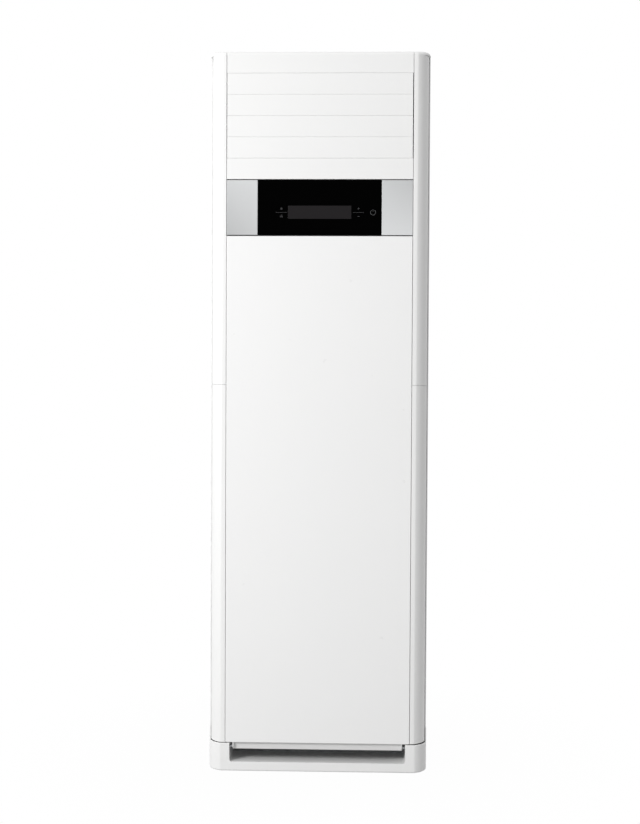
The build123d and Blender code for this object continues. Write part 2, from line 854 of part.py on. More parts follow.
def make_vane_link():
    """Flat bar under the rear of the vanes, one hole for each peg."""
    with BuildPart() as link:
        with BuildSketch(Plane.XY.offset(vane_low + 1)):
            with Locations((0, vane_peg_y)):
                SlotCenterToCenter(vane_xs[-1] - vane_xs[0], link_width)
            for x in vane_xs:
                bore(x, vane_peg_y, vane_peg_radius)
        extrude(amount=arm_thickness)
    save(link.part, "vane_link")


def make_vane_motor():
    """Stepping motor under the shelf, on the line of the first vane."""
    top = shelf_bottom - base_wall
    with BuildPart() as motor:
        with BuildSketch(Plane.XY.offset(top)):
            with Locations((vane_xs[0], vane_y)):
                Rectangle(step_motor_ears, arm_width)
        extrude(amount=-sheet)
        with BuildSketch(Plane.XY.offset(top)):
            with Locations((vane_xs[0], vane_y)):
                Circle(step_motor_radius)
        extrude(amount=-step_motor_length)
    save(motor.part, "vane_motor")


# Control strip

def make_control_strip():
    """Black glass with its display window between two silver end plates."""
    glass_half = glass_width / 2
    window_z = control_top - window_drop
    front = Plane.XZ.offset(-face_y)
    with BuildPart() as glass:
        with BuildSketch(front):
            span(-glass_half, glass_half, control_bottom, control_top)
        extrude(amount=-glass_thickness)
        chamfer(glass.faces().sort_by(Axis.Y)[0].edges(), length=0.6)
        with BuildSketch(front):
            with Locations((0, window_z)):
                Rectangle(window_width + 2 * window_gap, window_height + 2 * window_gap)
        extrude(amount=-glass_thickness, mode=Mode.SUBTRACT)
    save(glass.part, "control_glass")
    with BuildPart() as window:
        with BuildSketch(front):
            with Locations((0, window_z)):
                Rectangle(window_width, window_height)
        extrude(amount=-glass_thickness)
    save(window.part, "display_window")
    with BuildPart() as plate:
        with BuildSketch(front):
            span(glass_half + glass_gap, trim_half, control_bottom, control_top)
        extrude(amount=-glass_thickness)
        chamfer(plate.faces().sort_by(Axis.Y)[0].edges(), length=0.5)
    save(plate.part, "fascia_plate_right")
    save(mirrored(plate.part), "fascia_plate_left")


def make_fascia_housing():
    """Moulded back housing that carries the glass and plates, and the display board."""
    front = face_y + glass_thickness
    depth = jamb_y - front
    outer = trim_half - housing_margin
    well_half = glass_width / 2 - well_margin
    pod = outer - well_half - 2 * housing_rib
    mid_z = (control_bottom + control_top) / 2
    well_height = control_height - 2 * well_depth
    with BuildPart() as housing:
        with BuildSketch(Plane.XZ.offset(-front)):
            with Locations((0, mid_z)):
                Rectangle(2 * outer, control_height - 2 * housing_margin)
        extrude(amount=-depth)
        with BuildSketch(Plane.XZ.offset(-front)):
            with Locations((0, mid_z)):
                Rectangle(2 * well_half, well_height)
        extrude(amount=-well_depth, mode=Mode.SUBTRACT)
        with BuildSketch(Plane.XZ.offset(-jamb_y)):
            with Locations((0, mid_z)):
                Rectangle(2 * well_half, well_height)
        extrude(amount=depth - well_depth - housing_rib, mode=Mode.SUBTRACT)
        with BuildSketch(Plane.XZ.offset(-jamb_y)):
            with Locations((0, mid_z)):
                with GridLocations(outer + well_half, 1, 2, 1):
                    Rectangle(pod, control_height - 4 * housing_rib)
        extrude(amount=depth - housing_rib, mode=Mode.SUBTRACT)
        with BuildSketch(Plane.XZ.offset(-jamb_y)):
            for side in (-1, 1):
                span(side * (seam_half + frame_flange), side * (outer - housing_rib),
                     control_bottom + board_margin, control_top - board_margin)
        extrude(amount=-base_wall)
    save(housing.part, "fascia_housing")
    board_y = front + well_depth
    with BuildPart() as board:
        with BuildSketch(Plane.XZ.offset(-board_y)):
            with Locations((0, mid_z)):
                Rectangle(2 * well_half - well_margin, control_height - 2 * board_margin)
        extrude(amount=board_thickness)
        with BuildSketch(Plane.XZ.offset(-board_y + board_thickness)):
            with Locations((0, control_top - window_drop)):
                Rectangle(window_width - well_margin, window_height - well_margin / 2)
        extrude(amount=well_depth - 5)
    save(board.part, "display_board")


# Front panel

def make_front_panel():
    """Tall plain sheet with a return lip all round, and its foam lining."""
    inner_half = trim_half - shell_wall
    with BuildPart() as panel:
        with BuildSketch(Plane.XZ.offset(-face_y)):
            span(-trim_half, trim_half, panel_bottom, panel_top)
        extrude(amount=-panel_thickness)
        chamfer(panel.faces().sort_by(Axis.Y)[0].edges(), length=panel_chamfer)
        with BuildSketch(Plane.XZ.offset(-(face_y + panel_skin))):
            span(-inner_half, inner_half, panel_bottom + shell_wall, panel_top - shell_wall)
        extrude(amount=-panel_thickness, mode=Mode.SUBTRACT)
    save(panel.part, "front_panel")
    with BuildPart() as foam:
        with BuildSketch(Plane.XZ.offset(-(face_y + panel_skin))):
            span(-inner_half + 2, inner_half - 2, panel_bottom + shell_wall + 2, panel_top - shell_wall - 2)
        extrude(amount=-foam_thickness)
    save(foam.part, "panel_foam")


def make_panel_rail():
    """Set-back rail under the panel, with end lugs whose pins turn in the posts of the pocket."""
    half = pocket_half - rail_margin
    plate_y = face_y + rail_setback
    low = panel_bottom - rail_height
    with BuildPart() as rail:
        with BuildSketch(Plane.XZ.offset(-plate_y)):
            span(-half, half, low, panel_bottom)
        extrude(amount=-rail_thickness)
        for side in (-1, 1):
            with BuildSketch(Plane.YZ.offset(side * half)):
                with Locations((hinge_y, hinge_z)):
                    Circle(hinge_pin_radius + 2)
                span(hinge_y - hinge_pin_radius - 2, plate_y, hinge_z, panel_bottom)
                span(hinge_y, plate_y, hinge_z - hinge_pin_radius - 2, panel_bottom)
            extrude(amount=-side * rail_lug)
            with BuildSketch(Plane.YZ.offset(side * half)):
                pin(hinge_y, hinge_z, hinge_pin_radius)
            extrude(amount=side * (rail_margin + pocket_wall - 0.5))
    save(rail.part, "panel_rail")


# Inner structure

def make_plenum_cover():
    """Steel plate in front of the coil, screwed behind the jambs, with two pressed fields."""
    top = control_bottom + well_depth
    margin = board_margin
    field = (top - deck_height) / 2 - 1.5 * margin
    centres = [deck_height + margin + field / 2, top - margin - field / 2]
    draft = 25
    ear_low = column_split + seam / 2 + shell_wall
    with BuildPart() as cover:
        with BuildSketch(Plane.XZ.offset(-jamb_y)):
            span(-seam_half, seam_half, deck_height, top)
            span(-seam_half - frame_flange, seam_half + frame_flange, ear_low, top)
        extrude(amount=-sheet)
        with BuildSketch(Plane.XZ.offset(-jamb_y)):
            for z in centres:
                with Locations((0, z)):
                    Rectangle(2 * (seam_half - margin), field)
        extrude(amount=channel_depth, taper=draft)
        with BuildSketch(Plane.XZ.offset(-(jamb_y + sheet))):
            for z in centres:
                with Locations((0, z)):
                    Rectangle(2 * (seam_half - margin - sheet), field - 2 * sheet)
        extrude(amount=channel_depth, taper=draft, mode=Mode.SUBTRACT)
    save(cover.part, "plenum_cover")


def make_deck():
    """Steel partition between the blower and the coil, with the throat and pipe holes."""
    front = jamb_y + sheet
    throat_front = scroll_front + scroll_wall
    with BuildPart() as deck:
        with BuildSketch(Plane.XY.offset(deck_height)) as plan:
            span(-shell_inner, shell_inner, tongue_y + 1, rear_inner)
            fillet(plan.vertices().group_by(Axis.Y)[-1], radius=rear_corner_radius)
            span(-seam_half, seam_half, front, tongue_y + 1)
            span(throat_left + scroll_wall, -scroll_wall, throat_front,
                 scroll_rear - scroll_wall, mode=Mode.SUBTRACT)
            with Locations((pipe_x, suction_y)):
                Circle(suction_radius + pipe_hole_gap, mode=Mode.SUBTRACT)
            with Locations((pipe_x, liquid_y)):
                Circle(liquid_radius + pipe_hole_gap, mode=Mode.SUBTRACT)
            with Locations((drain_x, drain_y)):
                Circle(spout_radius + 1, mode=Mode.SUBTRACT)
        extrude(amount=sheet)
        with BuildSketch(Plane.XY.offset(deck_height)):
            for side in (-1, 1):
                span(side * (shell_inner - sheet), side * shell_inner, tongue_y + 1,
                     rear_inner - rear_corner_radius)
        extrude(amount=deck_flange)
    save(deck.part, "partition_deck")


def make_drain_pan():
    """Trough under the low edge of the coil, with a spout down through the deck."""
    floor = deck_height + sheet
    with BuildPart() as pan:
        with BuildSketch(Plane.XY.offset(floor)) as plan:
            span(-drain_pan_half, drain_pan_half, drain_pan_front, drain_pan_front + drain_pan_depth)
            chamfer(plan.vertices(), length=drain_pan_radius)
        extrude(amount=drain_pan_height)
        offset(amount=-drain_pan_wall, openings=pan.faces().sort_by(Axis.Z)[-1])
        with BuildSketch(Plane.XY.offset(floor)):
            with Locations((drain_x, drain_y)):
                Circle(spout_radius)
        extrude(amount=-spout_length)
        with Locations((drain_x, drain_y, floor + drain_pan_wall)):
            Hole(radius=spout_radius - spout_wall, depth=drain_pan_wall + spout_length)
    save(pan.part, "drain_pan")


# Coil

def coil_section():
    """Slanted section of the coil between its low and high rear edges, in the sketch being drawn."""
    with Locations((coil_y, coil_z)):
        Rectangle(coil_thickness, coil_length, rotation=-math.degrees(coil_lean))


def make_evaporator():
    """Slanted finned block standing in the drain pan."""
    with BuildPart() as block:
        with BuildSketch(Plane.YZ.offset(-coil_width / 2)):
            coil_section()
        extrude(amount=coil_width)
    save(block.part, "evaporator")


def make_coil_ends():
    """Tube sheets with their return bends."""
    along = Vector(0, math.sin(coil_lean), math.cos(coil_lean))
    across = Vector(0, math.cos(coil_lean), -math.sin(coil_lean))
    middle = Vector(coil_width / 2, coil_y, coil_z)
    with BuildPart() as end:
        with BuildSketch(Plane.YZ.offset(coil_width / 2)):
            coil_section()
        extrude(amount=end_sheet)
        for n in range(coil_bends):
            step = bend_pitch * (n - (coil_bends - 1) / 2)
            place = middle + along * step + across * bend_offset * (-1) ** n
            foot = Plane(origin=place, x_dir=along, z_dir=(1, 0, 0))
            with BuildSketch(foot):
                with GridLocations(2 * bend_radius, 1, 2, 1):
                    RegularPolygon(tube_radius, tube_sides)
            extrude(amount=bend_leg)
            with BuildSketch(foot.offset(bend_leg)):
                with Locations((bend_radius, 0)):
                    RegularPolygon(tube_radius, tube_sides)
            turn = Axis(place + Vector(bend_leg, 0, 0), across)
            revolve(axis=turn, revolution_arc=180)
    save(end.part, "coil_end_right")
    save(mirrored(end.part), "coil_end_left")


# Blower

def scroll_outline(inset, top):
    """Spiral casing made of three quarter arcs of growing radius and a straight throat."""
    first = scroll_start - inset
    second = first + scroll_growth
    third = second + scroll_growth
    with BuildSketch(Plane.XZ) as outline:
        with BuildLine():
            ThreePointArc((0, fan_height + first), quarter(0, fan_height, first, 45), (first, fan_height))
            ThreePointArc((first, fan_height), quarter(-scroll_growth, fan_height, second, -45),
                          (-scroll_growth, fan_height - second))
            ThreePointArc((-scroll_growth, fan_height - second),
                          quarter(-scroll_growth, fan_height + scroll_growth, third, -135),
                          (-scroll_growth - third, fan_height + scroll_growth))
            Polyline((-scroll_growth - third, fan_height + scroll_growth), (-scroll_growth - third, top),
                     (-inset, top), (-inset, fan_height + first))
            if inset:
                Line((-inset, fan_height + first), (0, fan_height + first))
        make_face()
    return outline.sketch


def quarter(x, z, radius, angle):
    """Point on a circle, for the middle of an arc."""
    return (x + radius * math.cos(math.radians(angle)), z + radius * math.sin(math.radians(angle)))


def make_blower_housing():
    """Scroll casing, hung under the deck by the flange of its throat."""
    with BuildPart() as casing:
        with BuildSketch(Plane.XZ.offset(-scroll_front)):
            add(scroll_outline(0, deck_height))
        extrude(amount=-scroll_width)
        with BuildSketch(Plane.XY.offset(deck_height)):
            span(throat_left - scroll_flange, scroll_flange, scroll_front - scroll_flange,
                 scroll_rear + scroll_flange)
        extrude(amount=-scroll_wall)
        with BuildSketch(Plane.XZ.offset(-(scroll_front + scroll_wall))):
            add(scroll_outline(scroll_wall, deck_height + 1))
        extrude(amount=-(scroll_width - 2 * scroll_wall), mode=Mode.SUBTRACT)
        with BuildSketch(Plane.XZ.offset(-scroll_front)):
            with Locations((0, fan_height)):
                Circle(inlet_radius)
        extrude(amount=-scroll_wall, mode=Mode.SUBTRACT)
        with BuildSketch(Plane.XZ.offset(-scroll_rear)):
            with Locations((0, fan_height)):
                Circle(motor_radius + scroll_flange)
        extrude(amount=scroll_wall, mode=Mode.SUBTRACT)
    save(casing.part, "blower_housing")


def make_bell_mouth():
    """Inlet ring on the front of the casing, turned in to a throat inside the wheel's front ring."""
    throat = fan_radius - blade_depth + 1
    roll = inlet_radius - bell_gap - throat
    edge = inlet_radius + bell_flange
    face = scroll_front - bell_wall
    with BuildPart() as ring:
        with BuildSketch(Plane.XY.offset(fan_height)):
            Polygon((edge, scroll_front), (edge, face), (throat + roll, face), (throat, face + roll),
                    (throat + bell_wall, face + roll), (throat + roll, scroll_front), align=None)
        revolve(axis=Axis((0, 0, fan_height), (0, 1, 0)))
    save(ring.part, "bell_mouth")


def blade_section():
    """Forward-curved blade: it leaves the inner edge radially and turns towards the rim."""
    inner = fan_radius - blade_depth
    sweep_angle = math.radians(blade_sweep)
    tip = (fan_radius * math.cos(sweep_angle) - 1, fan_radius * math.sin(sweep_angle))
    knee = (fan_radius - 0.4 * blade_depth, 0.14 * blade_depth)
    with BuildSketch() as blade:
        Polygon((inner, 0), knee, tip, (tip[0], tip[1] - blade_thickness),
                (knee[0], knee[1] - blade_thickness), (inner, -blade_thickness), align=None)
    return blade.sketch


def make_impeller():
    """Bladed wheel: back disc with its hub, forward-curved blades and a front ring."""
    front = scroll_front + fan_inset
    back = front + fan_width
    with BuildPart() as wheel:
        with BuildSketch(Plane.XZ.offset(-back)):
            with Locations((0, fan_height)):
                Circle(fan_radius)
        extrude(amount=disc_thickness)
        with BuildSketch(Plane.XZ.offset(-back + disc_thickness)):
            with Locations((0, fan_height)):
                Circle(hub_radius)
        extrude(amount=hub_radius, taper=8)
        with BuildSketch(Plane.XZ.offset(-back + disc_thickness)):
            with Locations((0, fan_height)):
                with PolarLocations(0, blade_count):
                    add(blade_section())
        extrude(amount=fan_width - disc_thickness - ring_thickness)
        with BuildSketch(Plane.XZ.offset(-front)):
            with Locations((0, fan_height)):
                Circle(fan_radius + 2)
                Circle(fan_radius - blade_depth / 2, mode=Mode.SUBTRACT)
        extrude(amount=-ring_thickness)
        with BuildSketch(Plane.XZ.offset(-back)):
            with Locations((0, fan_height)):
                Circle(shaft_radius)
        extrude(amount=fan_width, mode=Mode.SUBTRACT)
    save(wheel.part, "impeller")
    with BuildPart() as shaft:
        with BuildSketch(Plane.XZ.offset(-(back - shaft_nose))):
            with Locations((0, fan_height)):
                Circle(shaft_radius)
        extrude(amount=-(shaft_end - back + shaft_nose))
    save(shaft.part, "fan_shaft")


def make_fan_motor():
    """Motor with its terminal box on a vented bracket behind the casing."""
    reach = 2 * (motor_radius + bracket_margin)
    with BuildPart() as bracket:
        with BuildSketch(Plane.XZ.offset(-scroll_rear)) as plate:
            with Locations((0, fan_height)):
                Rectangle(reach, reach)
            chamfer(plate.vertices(), length=bracket_margin)
            with Locations((0, fan_height)):
                Circle(shaft_radius + 14, mode=Mode.SUBTRACT)
                with GridLocations(motor_radius, motor_radius, 2, 2):
                    Rectangle(vent_size, vent_size, mode=Mode.SUBTRACT)
        extrude(amount=-bracket_thickness)
    save(bracket.part, "motor_bracket")
    with BuildPart() as motor:
        with BuildSketch(Plane.XZ.offset(-motor_front)):
            with Locations((0, fan_height)):
                Circle(motor_radius)
        extrude(amount=-motor_length)
        chamfer(motor.faces().sort_by(Axis.Y)[-1].edges(), length=motor_chamfer)
        with BuildSketch(Plane.XY.offset(fan_height + motor_radius - 6)):
            with Locations((0, motor_front + motor_length / 2)):
                Rectangle(48, motor_length / 2)
        extrude(amount=18)
        with BuildSketch(Plane.XZ.offset(-motor_front)):
            with Locations((0, fan_height)):
                Circle(shaft_radius + running_fit)
        extrude(amount=-(shaft_end - motor_front + 3), mode=Mode.SUBTRACT)
    save(motor.part, "fan_motor")


# Electrical box

def make_electrical_box():
    """Steel box under the deck beside the throat, its cover and its board."""
    left = box_side_gap
    right = seam_half - box_wall_gap
    middle = (left + right) / 2
    bottom = deck_height - box_height
    board_y = box_rear - sheet
    board_width = right - left - 2 * board_margin
    transformer = 50
    terminal_height = 22
    with BuildPart() as box:
        with BuildSketch(Plane.XZ.offset(-box_front)):
            span(left, right, bottom, deck_height)
        extrude(amount=-(box_rear - box_front))
        offset(amount=-sheet, openings=box.faces().sort_by(Axis.Y)[0])
    save(box.part, "electrical_box")
    with BuildPart() as cover:
        with BuildSketch(Plane.XZ.offset(-box_front)):
            span(left - cover_overlap, right + cover_overlap, bottom - cover_overlap, deck_height - seam)
        extrude(amount=sheet)
    save(cover.part, "electrical_cover")
    with BuildPart() as board:
        with BuildSketch(Plane.XZ.offset(-board_y)):
            with Locations((middle, deck_height - box_height / 2)):
                Rectangle(board_width, box_height - 3 * board_margin)
        extrude(amount=board_thickness)
        with BuildSketch(Plane.XZ.offset(-(board_y - board_thickness))):
            with Locations((right - 2 * board_margin - transformer / 2, deck_height - 4 * board_margin)):
                Rectangle(transformer, transformer)
            with Locations((middle, bottom + 3 * board_margin)):
                Rectangle(board_width - 2 * board_margin, terminal_height)
        extrude(amount=component_height)
    save(board.part, "control_board")


# Pipes

def tube(points, bend, outer, inner=0):
    """Tube of few sides along straight runs joined by arcs of one radius."""
    with BuildLine() as path:
        FilletPolyline(*points, radius=bend)
    start = Plane(origin=path.wire() @ 0, z_dir=path.wire() % 0)
    with BuildPart() as run:
        with BuildSketch(start):
            RegularPolygon(outer, pipe_sides)
            if inner:
                RegularPolygon(inner, pipe_sides, mode=Mode.SUBTRACT)
        sweep(path=path.wire())
    return run.part


def make_pipe(name, y, level, radius, end_x, end_z):
    """Line from the coil's end down the side and back to its flare union at the rear."""
    side = coil_width / 2 + end_sheet
    points = [(side, y, level), (pipe_x, y, level), (pipe_x, y, end_z),
              (end_x, union_y - union_inset, end_z), (end_x, union_y, end_z)]
    with BuildPart() as pipe:
        add(tube(points, min(2 * suction_radius, pipe_x - side - 0.5), radius))
        with BuildSketch(Plane.XZ.offset(-union_y)):
            with Locations((end_x, end_z)):
                RegularPolygon(radius * nut_ratio, 6)
        extrude(amount=radius * nut_ratio)
        with BuildSketch(Plane.XZ.offset(-union_y)):
            with Locations((end_x, end_z)):
                Circle(radius * union_ratio)
        extrude(amount=-union_length)
    save(pipe.part, name)


def make_pipes():
    """Suction and liquid lines, and the drain hose from the pan's spout out of the back."""
    make_pipe("suction_pipe", suction_y, suction_level, suction_radius, union_x, union_z)
    make_pipe("liquid_pipe", liquid_y, liquid_level, liquid_radius, liquid_union_x, liquid_union_z)
    hose = tube([(drain_x, drain_y, deck_height + sheet - spout_length), (drain_x, drain_y, drain_exit_z),
                 (drain_x, base_rear - 0.5, drain_exit_z)], hose_bend, spout_radius + 1,
                spout_radius - spout_wall)
    save(hose, "drain_hose")


if __name__ == "__main__":
    make_base_tray()
    make_floor_pan()
    make_lower_columns()
    make_upper_columns()
    make_side_panels()
    make_top_cover()
    make_back_panels()
    make_grilles()
    make_filters()
    make_outlet_frame()
    make_air_duct()
    make_louvers()
    make_louver_link()
    make_louver_drive()
    make_vanes()
    make_vane_link()
    make_vane_motor()
    make_control_strip()
    make_fascia_housing()
    make_front_panel()
    make_panel_rail()
    make_plenum_cover()
    make_deck()
    make_drain_pan()
    make_evaporator()
    make_coil_ends()
    make_blower_housing()
    make_bell_mouth()
    make_impeller()
    make_fan_motor()
    make_electrical_box()
    make_pipes()
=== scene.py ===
import bpy
import bmesh
import json
import math
from mathutils import Matrix, Vector

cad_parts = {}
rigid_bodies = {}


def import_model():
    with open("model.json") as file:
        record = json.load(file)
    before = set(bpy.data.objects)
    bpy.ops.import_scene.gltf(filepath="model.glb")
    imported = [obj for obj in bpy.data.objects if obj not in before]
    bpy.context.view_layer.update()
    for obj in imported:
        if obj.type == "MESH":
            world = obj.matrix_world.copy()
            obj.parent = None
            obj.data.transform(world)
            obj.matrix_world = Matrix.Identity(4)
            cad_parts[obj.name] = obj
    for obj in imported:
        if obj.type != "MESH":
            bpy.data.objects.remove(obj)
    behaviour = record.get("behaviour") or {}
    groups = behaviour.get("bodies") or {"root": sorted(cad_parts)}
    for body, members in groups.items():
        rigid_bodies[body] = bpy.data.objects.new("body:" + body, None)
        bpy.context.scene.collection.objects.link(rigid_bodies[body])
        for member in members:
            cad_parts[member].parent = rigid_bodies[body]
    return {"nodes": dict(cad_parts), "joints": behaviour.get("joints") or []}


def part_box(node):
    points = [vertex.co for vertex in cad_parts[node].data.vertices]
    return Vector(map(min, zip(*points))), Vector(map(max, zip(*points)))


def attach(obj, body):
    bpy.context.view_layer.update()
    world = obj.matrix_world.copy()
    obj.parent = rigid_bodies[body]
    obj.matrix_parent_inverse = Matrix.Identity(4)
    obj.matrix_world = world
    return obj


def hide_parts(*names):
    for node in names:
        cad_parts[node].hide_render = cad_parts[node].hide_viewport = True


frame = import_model()
for spare in ("Cube", "Light", "Camera"):
    if spare in bpy.data.objects:
        bpy.data.objects.remove(bpy.data.objects[spare])
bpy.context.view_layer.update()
scene = bpy.context.scene
print("frame loaded:", len(frame["nodes"]), "nodes")

# Camera: a little right of the middle and just above half height, level within two degrees.
# Its place is in metres and its turns are in radians
view = {"place": (0.1166, -3.709, 1.0231), "pitch": -0.0302, "yaw": 0.0323, "roll": -0.0049,
        "focalPixels": 1386.8, "tallPixels": 824, "sensor": 36, "clipEnd": 60}
cameraData = bpy.data.cameras.new("camera")
cameraData.sensor_width = view["sensor"]
cameraData.lens = view["focalPixels"] * view["sensor"] / view["tallPixels"]
cameraData.clip_end = view["clipEnd"]
camera = bpy.data.objects.new("camera", cameraData)
scene.collection.objects.link(camera)
camera.matrix_world = (Matrix.Translation(view["place"]) @ Matrix.Rotation(view["yaw"], 4, "Z")
                       @ Matrix.Rotation(view["pitch"], 4, "X") @ Matrix.Rotation(view["roll"], 4, "Y")
                       @ Matrix.Rotation(math.pi / 2, 4, "X"))
scene.camera = camera
scene.view_settings.view_transform = "Standard"


# Small helpers, for working as by hand. Those that make or soften a piece take millimetres, as do
# the values of each piece below. Angles are in degrees

work = {"near": 0.1, "facing": 0.9, "weld": 0.01, "flat": 0.6, "smooth": 38, "normalWeight": 80, "seed": 1.0}
hands = ((-1, "left"), (1, "right"))


def metres(*sizes):
    return tuple(size / 1000 for size in sizes)


def deselect():
    bpy.ops.object.select_all(action="DESELECT")


def pick(piece):
    deselect()
    piece.select_set(True)
    bpy.context.view_layer.objects.active = piece


def startEdit(piece):
    pick(piece)
    bpy.ops.object.mode_set(mode="EDIT")


def endEdit():
    bpy.ops.object.mode_set(mode="OBJECT")


def selectAll():
    bpy.ops.mesh.select_all(action="SELECT")


def choose(kind, test):
    bpy.ops.mesh.select_all(action="DESELECT")
    bpy.context.tool_settings.mesh_select_mode = (False, kind == "edges", kind == "faces")
    data = bpy.context.object.data
    mesh = bmesh.from_edit_mesh(data)
    for part in mesh.edges if kind == "edges" else mesh.faces:
        if test(part):
            part.select_set(True)
    bmesh.update_edit_mesh(data)


def middle(edge):
    return (edge.verts[0].co + edge.verts[1].co) / 2


def settle(piece):
    pick(piece)
    bpy.ops.object.transform_apply(location=True, rotation=True, scale=True)
    return piece


def modify(piece, kind, **values):
    pick(piece)
    bpy.ops.object.modifier_add(type=kind)
    modifier = piece.modifiers[-1]
    for key, value in values.items():
        setattr(modifier, key, value)
    bpy.ops.object.modifier_apply(modifier=modifier.name)


def combine(piece, tool, operation):
    modify(piece, "BOOLEAN", operation=operation, object=tool, solver="EXACT")
    bpy.data.objects.remove(tool)


def softenEdges(piece, width, steps=2, sharpest=32):
    modify(piece, "BEVEL", width=width / 1000, segments=steps, limit_method="ANGLE",
           angle_limit=math.radians(sharpest), harden_normals=False, use_clamp_overlap=True)
    pick(piece)
    bpy.ops.object.shade_smooth_by_angle(angle=math.radians(work["smooth"]), keep_sharp_edges=True)
    modify(piece, "WEIGHTED_NORMAL", mode="FACE_AREA", weight=work["normalWeight"], keep_sharp=True)


def arc(centreA, centreB, radius, first, last, steps):
    points = []
    for step in range(steps + 1):
        angle = math.radians(first + (last - first) * step / steps)
        points.append((centreA + radius * math.cos(angle), centreB + radius * math.sin(angle)))
    return points


def outline(name, points, push):
    places = [Vector(metres(*point)) for point in points]
    deselect()
    bpy.context.tool_settings.mesh_select_mode = (True, False, False)
    bpy.ops.mesh.primitive_plane_add(size=work["seed"] / 1000, location=places[0])
    piece = bpy.context.object
    piece.name = name
    bpy.ops.object.mode_set(mode="EDIT")
    selectAll()
    bpy.ops.mesh.merge(type="CENTER")
    for start, end in zip(places, places[1:]):
        bpy.ops.mesh.extrude_vertices_move(TRANSFORM_OT_translate={"value": end - start})
    selectAll()
    bpy.ops.mesh.edge_face_add()
    bpy.ops.mesh.extrude_region_move(TRANSFORM_OT_translate={"value": metres(*push)})
    selectAll()
    bpy.ops.mesh.normals_make_consistent(inside=False)
    endEdit()
    return settle(piece)


def block(name, low, high):
    low, high = Vector(metres(*low)), Vector(metres(*high))
    deselect()
    bpy.ops.mesh.primitive_cube_add(size=1, location=(low + high) / 2)
    piece = bpy.context.object
    piece.name = name
    piece.scale = high - low
    return settle(piece)


def spanned(side, inner, outer):
    ends = sorted((side * inner[0], side * outer[0]))
    return (ends[0], *inner[1:]), (ends[1], *outer[1:])


def rod(name, start, end, radius, sides=24):
    start, end = Vector(metres(*start)), Vector(metres(*end))
    along = end - start
    deselect()
    bpy.ops.mesh.primitive_cylinder_add(vertices=sides, radius=radius / 1000, depth=along.length,
                                        location=(start + end) / 2,
                                        rotation=along.to_track_quat("Z", "Y").to_euler())
    piece = bpy.context.object
    piece.name = name
    return settle(piece)


def copySolid(node, name):
    pick(frame["nodes"][node])
    bpy.ops.object.duplicate()
    piece = bpy.context.object
    for key in [key for key in piece.keys() if key.startswith("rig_")]:
        del piece[key]
    bpy.ops.object.parent_clear(type="CLEAR_KEEP_TRANSFORM")
    piece.name = name
    bpy.ops.mesh.customdata_custom_splitnormals_clear()
    startEdit(piece)
    selectAll()
    bpy.ops.mesh.remove_doubles(threshold=work["weld"] / 1000)
    endEdit()
    return piece


def joinPieces(main, others):
    pick(main)
    for piece in others:
        piece.select_set(True)
    bpy.ops.object.join()


# Finishes. Scales count to the metre, and heights and the spans of the painted sheen are in metres

finishes = {
    "whiteMoulding": {"base": (0.905, 0.905, 0.9), "rough": 0.36, "grain": 1500, "depth": 0.05,
                      "mottle": 0.008},
    # the white moulding made darker: painted shade for the rail under the front panel's foot
    "paintedShadeMoulding": {"base": (0.76, 0.76, 0.755), "rough": 0.4, "grain": 1500, "depth": 0.05,
                       "mottle": 0.01},
    "whiteCoat": {"base": (0.93, 0.93, 0.927), "rough": 0.3, "grain": 420, "depth": 0.035, "mottle": 0.006},
    # silver plates, with a painted reflection across each one
    "silver": {"base": (0.645, 0.655, 0.66), "rough": 0.44, "metal": 0.1, "grain": 900, "depth": 0.05,
               "mottle": 0.22, "stretch": (1, 1, 0.02),
               "paintedSheen": {"X": (0.156, 0.234, 0.59, 0.41), "Z": (1.363, 1.5012, -1.924, 0.408)}},
    "blackGlass": {"base": (0.0004, 0.0004, 0.0004), "rough": 0.1, "shine": 0.03, "grain": 300,
                   "depth": 0.01, "mottle": 0.05},
    "windowGlass": {"base": (0.019, 0.0175, 0.0185), "rough": 0.2, "shine": 0.06, "grain": 2600,
                    "depth": 0.01, "mottle": 0.04},
    "print": {"base": (0.085, 0.085, 0.087), "rough": 0.5, "shine": 0.1, "grain": 4000, "depth": 0.02,
              "mottle": 0.08},
    "greyMoulding": {"base": (0.3, 0.31, 0.32), "rough": 0.5, "grain": 1600, "depth": 0.08, "mottle": 0.03},
    "darkMoulding": {"base": (0.05, 0.05, 0.055), "rough": 0.55, "grain": 1700, "depth": 0.08,
                     "mottle": 0.06},
    "foam": {"base": (0.74, 0.74, 0.71), "rough": 0.9, "shine": 0.2, "cells": 260, "depth": 0.5,
             "mottle": 0.05},
    "zinc": {"base": (0.52, 0.535, 0.55), "rough": 0.42, "metal": 0.85, "spangle": 70, "grain": 500,
             "depth": 0.03, "mottle": 0.1},
    "finStock": {"base": (0.66, 0.68, 0.7), "rough": 0.35, "metal": 0.9, "grain": 700, "depth": 0.05,
                 "mottle": 0.06},
    "copper": {"base": (0.72, 0.36, 0.2), "rough": 0.28, "metal": 1.0, "grain": 260, "depth": 0.04,
               "mottle": 0.18},
    "motorEnamel": {"base": (0.028, 0.028, 0.03), "rough": 0.38, "grain": 900, "depth": 0.12, "mottle": 0.1},
    "hose": {"base": (0.5, 0.5, 0.48), "rough": 0.6, "grain": 900, "depth": 0.1, "mottle": 0.05},
    "turnedSteel": {"base": (0.55, 0.55, 0.57), "rough": 0.3, "metal": 1.0, "grain": 1400, "depth": 0.06,
                    "mottle": 0.05, "stretch": (1, 0.05, 1)},
    "screen": {"base": (0.05, 0.055, 0.065), "rough": 0.6, "weave": 900, "depth": 0.6, "mottle": 0.1},
    "board": {"base": (0.015, 0.1, 0.045), "rough": 0.35, "tracks": 140, "depth": 0.25, "mottle": 0.15},
}
surface = {"shine": 0.5, "broadScale": 5, "broadDetail": 3, "fineDetail": 2, "mortar": 0.03, "etch": 2.6,
           "bump": 0.0004, "patchScale": 34, "patchDetail": 4, "roughSwing": 0.06, "leastRough": 0.02}

# the colour sockets of a mix node, whose names repeat
mixSockets = {"share": 0, "colours": (6, 7), "result": 2}


